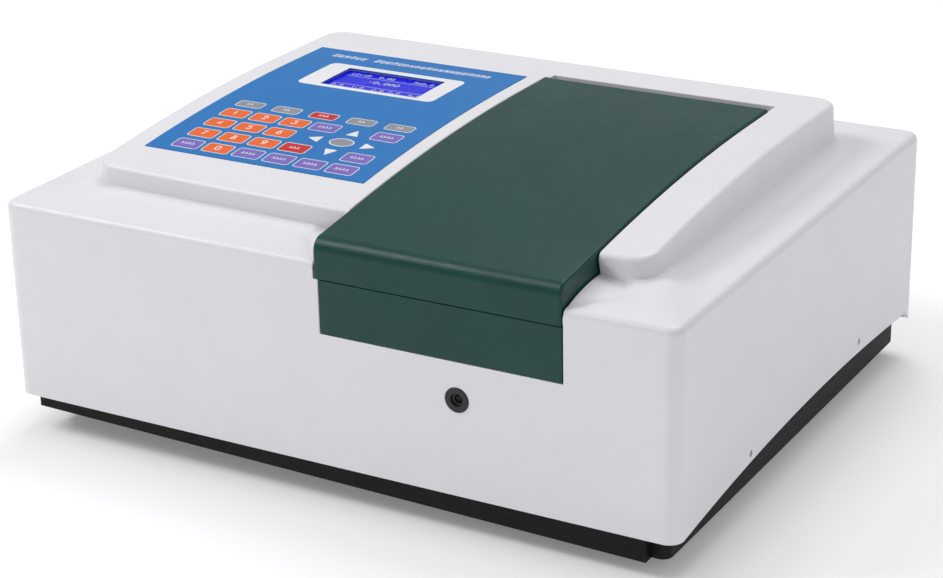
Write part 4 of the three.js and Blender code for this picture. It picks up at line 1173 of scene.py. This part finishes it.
def key_mark(name):
    """Outlines of what is printed on a key: a digit, or two plain bars."""
    label = name[4:]
    if label in GLYPHS:
        return ribbon([((u - 0.3) * 5.2, (v - 0.5) * 5.2) for u, v in GLYPHS[label]], 0.95)
    if name in ARROW_TURN:
        return []
    tall = 1.5
    marks = []
    count = {"key_grey": 2, "key_purple": 4, "key_red": 3}[SLOTS[name]]
    for i in range(count):
        u = (i - (count - 1) / 2) * 2.6
        marks.append([(u - 0.9, -tall), (u - 0.35, -tall), (u + 0.15, tall), (u - 0.4, tall)])
        marks.append([(u + 0.3, -tall), (u + 0.85, -tall), (u + 1.0, tall * 0.2), (u + 0.45, tall * 0.2)])
    return marks


for name, x, y, width, deep in key_list():
    rings = []
    for margin, z in ((0.05, -0.85), (0.05, 0.18), (-0.15, 0.42), (-0.6, 0.56), (-1.3, KEY_FACE)):
        rings.append(tilted(key_outline(name, width, deep, margin), x, y, z))
    pad = paint(rings_to_mesh(rings), 0)
    marks = [rings_to_mesh([tilted(points, x, y, z) for z in (KEY_FACE - 0.05, KEY_FACE + 0.04)])
             for points in key_mark(name)]
    marks = [paint(mark, 1) for mark in marks]
    slot = SLOTS[name]
    piece(f"{name}_pad", merged([pad, *marks]), [KEY_PAINT[slot], PALE], f"{name}_body", [name])

FONT = {
    "0": (14, 17, 19, 21, 25, 17, 14), "1": (4, 12, 4, 4, 4, 4, 14), "2": (14, 17, 1, 2, 4, 8, 31),
    "3": (31, 2, 4, 2, 1, 17, 14), "4": (2, 6, 10, 18, 31, 2, 2), "5": (31, 16, 30, 1, 1, 17, 14),
    "6": (6, 8, 16, 30, 17, 17, 14), "7": (31, 1, 2, 4, 8, 8, 8), "8": (14, 17, 17, 14, 17, 17, 14),
    "9": (14, 17, 17, 15, 1, 2, 12), "-": (0, 0, 0, 14, 0, 0, 0), ".": (0, 0, 0, 0, 0, 12, 12),
    ":": (0, 12, 12, 0, 12, 12, 0), " ": (0, 0, 0, 0, 0, 0, 0),
}
PIXEL_MM = 0.52
lcd_low, lcd_high = local_box("lcd_module")
GLASS_Z = lcd_high.z


def pixel_text(text, x, y, size):
    """Lit display pixels, one thin block for each run of pixels in a row."""
    blocks, pitch = [], PIXEL_MM * size
    for n, letter in enumerate(text):
        for row, bits in enumerate(FONT[letter]):
            column = 0
            while column < 5:
                if not bits >> (4 - column) & 1:
                    column += 1
                    continue
                start = column
                while column < 5 and bits >> (4 - column) & 1:
                    column += 1
                x0 = x + (n * 6 + start) * pitch
                y1 = y - row * pitch
                blocks.append((x0, x0 + (column - start) * pitch - 0.05, y1 - pitch + 0.05, y1))
    return blocks


def lit(blocks):
    return merged([block(x0, x1, y0, y1, GLASS_Z - 0.02, GLASS_Z + 0.06) for x0, x1, y0, y1 in blocks])


lines = pixel_text("12:45  0.00", window_low.x + 4, window_high.y - 2.5, 1)
lines += pixel_text("560.0", window_high.x - 21, window_high.y - 2.5, 1)
lines += pixel_text("-0.000", window_low.x + 24, window_high.y - 13, 1.3)
lines += pixel_text("0.0  1.0  2.0 3.0  4.0", window_low.x + 4, window_low.y + 8.5, 1)
lines.append((window_low.x + 3, window_high.x - 3, window_high.y - 8.6, window_high.y - 8.2))
lines.append((window_low.x + 3, window_high.x - 3, window_low.y + 10.4, window_low.y + 10.8))
lcd = [paint(soft_block(*around(lcd_low, lcd_high), lcd_low.z, TOP_Z - 4.5, 0.4), 1),
       paint(soft_block(*around(window_low, window_high, 1.4), TOP_Z - 5, GLASS_Z, 0.1, 1), 0)]
piece("lcd_panel", merged(lcd), [BACKLIGHT, BLACK], "chassis", ["lcd_module"])
piece("lcd_lit_pixels", lit(lines), [PIXEL], "chassis")
pane = on_top(around(window_low, window_high), -0.6, 0.2)
piece("display_window_pane", pane, [WINDOW], "chassis", ["display_window"])


# ------------------------------------------------------------------ carried-over CAD nodes

def dress(node, material, bevel=0.4):
    """Keeps a CAD node, with softened edges and a proper material."""
    thing = NODES[node]
    thing.data.materials.clear()
    thing.data.materials.append(material)
    weld = thing.modifiers.new("weld", "WELD")
    weld.merge_threshold = 1e-5
    if bevel:
        edge = thing.modifiers.new("edge", "BEVEL")
        edge.width = bevel * MM
        edge.segments = 2
        edge.limit_method = "ANGLE"
        edge.angle_limit = math.radians(40)
    thing.modifiers.new("normals", "WEIGHTED_NORMAL")


KEPT = {
    "base_tray": (BASE, 0.3), "sample_chamber": (CHAMBER, 0.3), "hinge_pin": (STEEL, 0.2),
    "cell_carriage": (ANODISED, 0.25), "monochromator_base": (CAST, 0.6), "monochromator_cover": (STEEL, 0.4),
    "collimating_mirror": (MIRROR, 0.3), "grating_turntable": (ANODISED, 0.3),
    "filter_wheel": (ANODISED, 0.15),
    "lamp_house": (ANODISED, 0.3), "deuterium_lamp": (GLASS, 0), "tungsten_lamp": (GLASS, 0),
    "lamp_mirror": (MIRROR, 0.2), "detector_housing": (ANODISED, 0.5), "main_board": (BOARD, 0.1),
    "power_supply": (STEEL, 0.4), "fan_frame": (BLACK, 0.4), "fan_rotor": (BLACK, 0.2),
    "power_inlet": (BLACK, 0.3), "power_switch": (BLACK, 0.5),
}
for node, (material, bevel) in KEPT.items():
    dress(node, material, bevel)

for node in sorted(n for n in NODES if n.startswith("foot_")):
    low, high = local_box(node)
    x, y = (low.x + high.x) / 2, (low.y + high.y) / 2
    radius = (high.x - low.x) / 2
    shape = turned([
        (0, low.z + 1.2), (3.2, low.z + 1.2), (3.8, low.z + 0.2), (4.4, low.z), (radius - 3, low.z),
        (radius - 2.1, low.z + 0.5), (radius - 0.4, high.z - 6.0), (radius, high.z - 5.0),
        (radius, high.z - 4.6),
        (radius - 0.7, high.z - 3.9), (3, high.z - 3.9), (3, high.z), (0, high.z),
    ], "z", (x, y), 48)
    piece(f"{node}_rubber", shape, [RUBBER], "chassis", [node])


# ------------------------------------------------------------------ rear panel details

REAR_Y = 366
SEAT_Y = REAR_Y - 0.2
PORT_Y = 371.4
SERIAL_PORT = (-55, 62, 17.5, 8.5, 5)
PRINTER_PORT = (22, 62, 39, 8.5, 13)
USB_PORT = (78, 62, 12, 11)
RATING_PLATE = (-62, 34, 14, 40)
EARTH_STUD = (104, 30)
FAN_SCREW = 35.7
PANEL_SCREWS = ((-78, 8), (-78, 86), (122, 8), (122, 86))
INLET_PINS = ((-7, 31), (0, 35), (7, 31))
PIN_Y = (352.5, 364)


def d_outline(x, z, width, tall, slant=1.2):
    half, up = width / 2, tall / 2
    return [(x - half, z + up), (x - half + slant, z - up), (x + half - slant, z - up), (x + half, z + up)]


def d_port(x, z, width, tall, pins):
    """A D-shaped port: flange, metal shell, black insert with two rows of contacts, and two posts."""
    flange = soft_block(x - width / 2 - 7, x + width / 2 + 7, REAR_Y, REAR_Y + 1,
                        z - tall / 2 - 2, z + tall / 2 + 2, 0.3)
    shell = prism_y(d_outline(x, z, width, tall), REAR_Y + 0.5, PORT_Y)
    shell = boolean(shell, [prism_y(d_outline(x, z, width - 1.2, tall - 1.2), REAR_Y + 1.5, PORT_Y + 1)])
    posts = [rod(2.4, "y", (side * (width / 2 + 4) + x, z), REAR_Y + 0.6, PORT_Y - 0.6, 0.3, 6)
             for side in (-1, 1)]
    insert = prism_y(d_outline(x, z, width - 1.4, tall - 1.4), REAR_Y + 1, PORT_Y - 3)
    contacts = []
    for i in range(pins):
        for row, count in ((1, pins), (-1, pins - 1)):
            if i < count:
                place = x + (i - (count - 1) / 2) * 2.75
                contacts.append(rod(0.5, "y", (place, z + row * 1.4), PORT_Y - 3.2, PORT_Y - 1, 0.2, 12))
    return ([paint(part, 0) for part in (flange, shell, *posts)] + [paint(insert, 1)]
            + [paint(part, 2) for part in contacts])


piece("serial_port", merged(d_port(*SERIAL_PORT)), [STEEL, BLACK, GOLD], "chassis")
piece("printer_port", merged(d_port(*PRINTER_PORT)), [STEEL, BLACK, GOLD], "chassis")
usb_x, usb_z, usb_w, usb_h = USB_PORT
usb = soft_block(usb_x - usb_w / 2, usb_x + usb_w / 2, SEAT_Y, PORT_Y,
                 usb_z - usb_h / 2, usb_z + usb_h / 2, 0.5)
usb = boolean(usb, [block(usb_x - 4.2, usb_x + 4.2, PORT_Y - 4, PORT_Y + 1, usb_z - 3.9, usb_z + 3.9)])
tongue = block(usb_x - 2.7, usb_x + 2.7, PORT_Y - 4.2, PORT_Y - 0.8, usb_z - 1.5, usb_z + 1.5)
piece("usb_port", merged([paint(usb, 0), paint(tongue, 1)]), [STEEL, BLACK], "chassis")
plate_x0, plate_x1, plate_z0, plate_z1 = RATING_PLATE
plate = soft_block(plate_x0, plate_x1, SEAT_Y, REAR_Y + 0.4, plate_z0, plate_z1, 0.3)
piece("rating_plate", plate, [CAST], "chassis")
stud = turned([(0, SEAT_Y), (5, SEAT_Y), (5, REAR_Y + 0.8), (2, REAR_Y + 1), (2, REAR_Y + 2),
               (4.4, REAR_Y + 2.2), (4.4, PORT_Y - 0.4), (4, PORT_Y), (0, PORT_Y)], "y", EARTH_STUD, 24)
piece("earth_stud", stud, [GOLD], "chassis")
heads = [screw_head(x, SEAT_Y, z, "y", 1, 3.2, 1.6) for x, z in PANEL_SCREWS]
fan_low, fan_high = local_box("fan_frame")
fan_x, fan_z = (fan_low.x + fan_high.x) / 2, (fan_low.z + fan_high.z) / 2
heads += [screw_head(fan_x + u * FAN_SCREW, SEAT_Y, fan_z + w * FAN_SCREW, "y", 1, 3.2, 1.6)
          for u in (-1, 1) for w in (-1, 1)]
piece("rear_screws", merged(heads), [STEEL], "chassis")
inlet_low, inlet_high = local_box("power_inlet")
inlet_x = (inlet_low.x + inlet_high.x) / 2
pins = [soft_block(inlet_x + u - 1, inlet_x + u + 1, *PIN_Y, z - 2.6, z + 2.6, 0.4) for u, z in INLET_PINS]
piece("inlet_pins", merged(pins), [GOLD], "chassis")


# ------------------------------------------------------------------ stage, light and camera

floor = bpy.data.objects.new("floor", raw(
    [(-9000, -9000, 0), (9000, -9000, 0), (9000, 9000, 0), (-9000, 9000, 0)], [(0, 1, 2, 3)]))
floor.location.z = -ORIGIN.z
bpy.context.scene.collection.objects.link(floor)
floor_paint = Surface("floor_paper")
floor_paint.gloss(floor_paint.noise(60, 2), 0.75, 0.85)
floor_paint.fixed(Base_Color=(0.93, 0.93, 0.94, 1), Specular_IOR_Level=0.1,
                  Emission_Color=(1, 1, 1, 1), Emission_Strength=0.17)
floor.data.materials.append(floor_paint.material)

world = bpy.data.worlds.new("studio")
bpy.context.scene.world = world
world.use_nodes = True
sky = world.node_tree
SKY_LOW, SKY_HIGH = 0.42, 0.36


def build_sky():
    """A plain studio: brighter walls near the floor, a dimmer ceiling."""
    where = sky.nodes.new("ShaderNodeTexCoord")
    split = sky.nodes.new("ShaderNodeSeparateXYZ")
    level = sky.nodes.new("ShaderNodeMapRange")
    level.inputs["From Min"].default_value = 0.15
    level.inputs["From Max"].default_value = 0.75
    level.inputs["To Min"].default_value = SKY_LOW
    level.inputs["To Max"].default_value = SKY_HIGH
    sky.links.new(where.outputs["Generated"], split.inputs["Vector"])
    sky.links.new(split.outputs["Z"], level.inputs["Value"])
    sky.links.new(level.outputs["Result"], sky.nodes["Background"].inputs["Strength"])
    sky.nodes["Background"].inputs["Color"].default_value = (1, 1, 1, 1)


build_sky()


def softbox(name, place, target, width, height, power):
    light = bpy.data.lights.new(name, "AREA")
    light.shape = "RECTANGLE"
    light.size = width
    light.size_y = height
    light.energy = power
    made = bpy.data.objects.new(name, light)
    made.location = place
    made.rotation_euler = (Vector(target) - Vector(place)).to_track_quat("-Z", "Y").to_euler()
    bpy.context.scene.collection.objects.link(made)


middle = (0, 0, 0.1)
softbox("key_left", (-1.5, -0.9, 1.9), middle, 1.0, 1.0, 27)
softbox("fill_right", (1.9, -1.0, 1.1), middle, 1.2, 1.2, 3)
softbox("top", (0.1, 0.9, 2.2), middle, 1.6, 1.2, 22)

AZIMUTH, ELEVATION, ROLL = 0.5224, 0.3802, -0.0207
LENS = 92.65
CAMERA_PLACE = at(724.8, -1079.3, 628.1)
camera = bpy.data.cameras.new("camera")
camera.sensor_width = 36
camera.lens = LENS
camera.clip_start = 0.05
camera.clip_end = 50
eye = bpy.data.objects.new("camera", camera)
back = Vector((math.sin(AZIMUTH) * math.cos(ELEVATION), -math.cos(AZIMUTH) * math.cos(ELEVATION),
               math.sin(ELEVATION)))
right = Vector((math.cos(AZIMUTH), math.sin(AZIMUTH), 0))
up = back.cross(right)
right_rolled = right * math.cos(ROLL) + up * math.sin(ROLL)
up_rolled = up * math.cos(ROLL) - right * math.sin(ROLL)
turn = Matrix((right_rolled, up_rolled, back)).transposed().to_4x4()
eye.matrix_world = Matrix.Translation(CAMERA_PLACE) @ turn
bpy.context.scene.collection.objects.link(eye)
bpy.context.scene.camera = eye
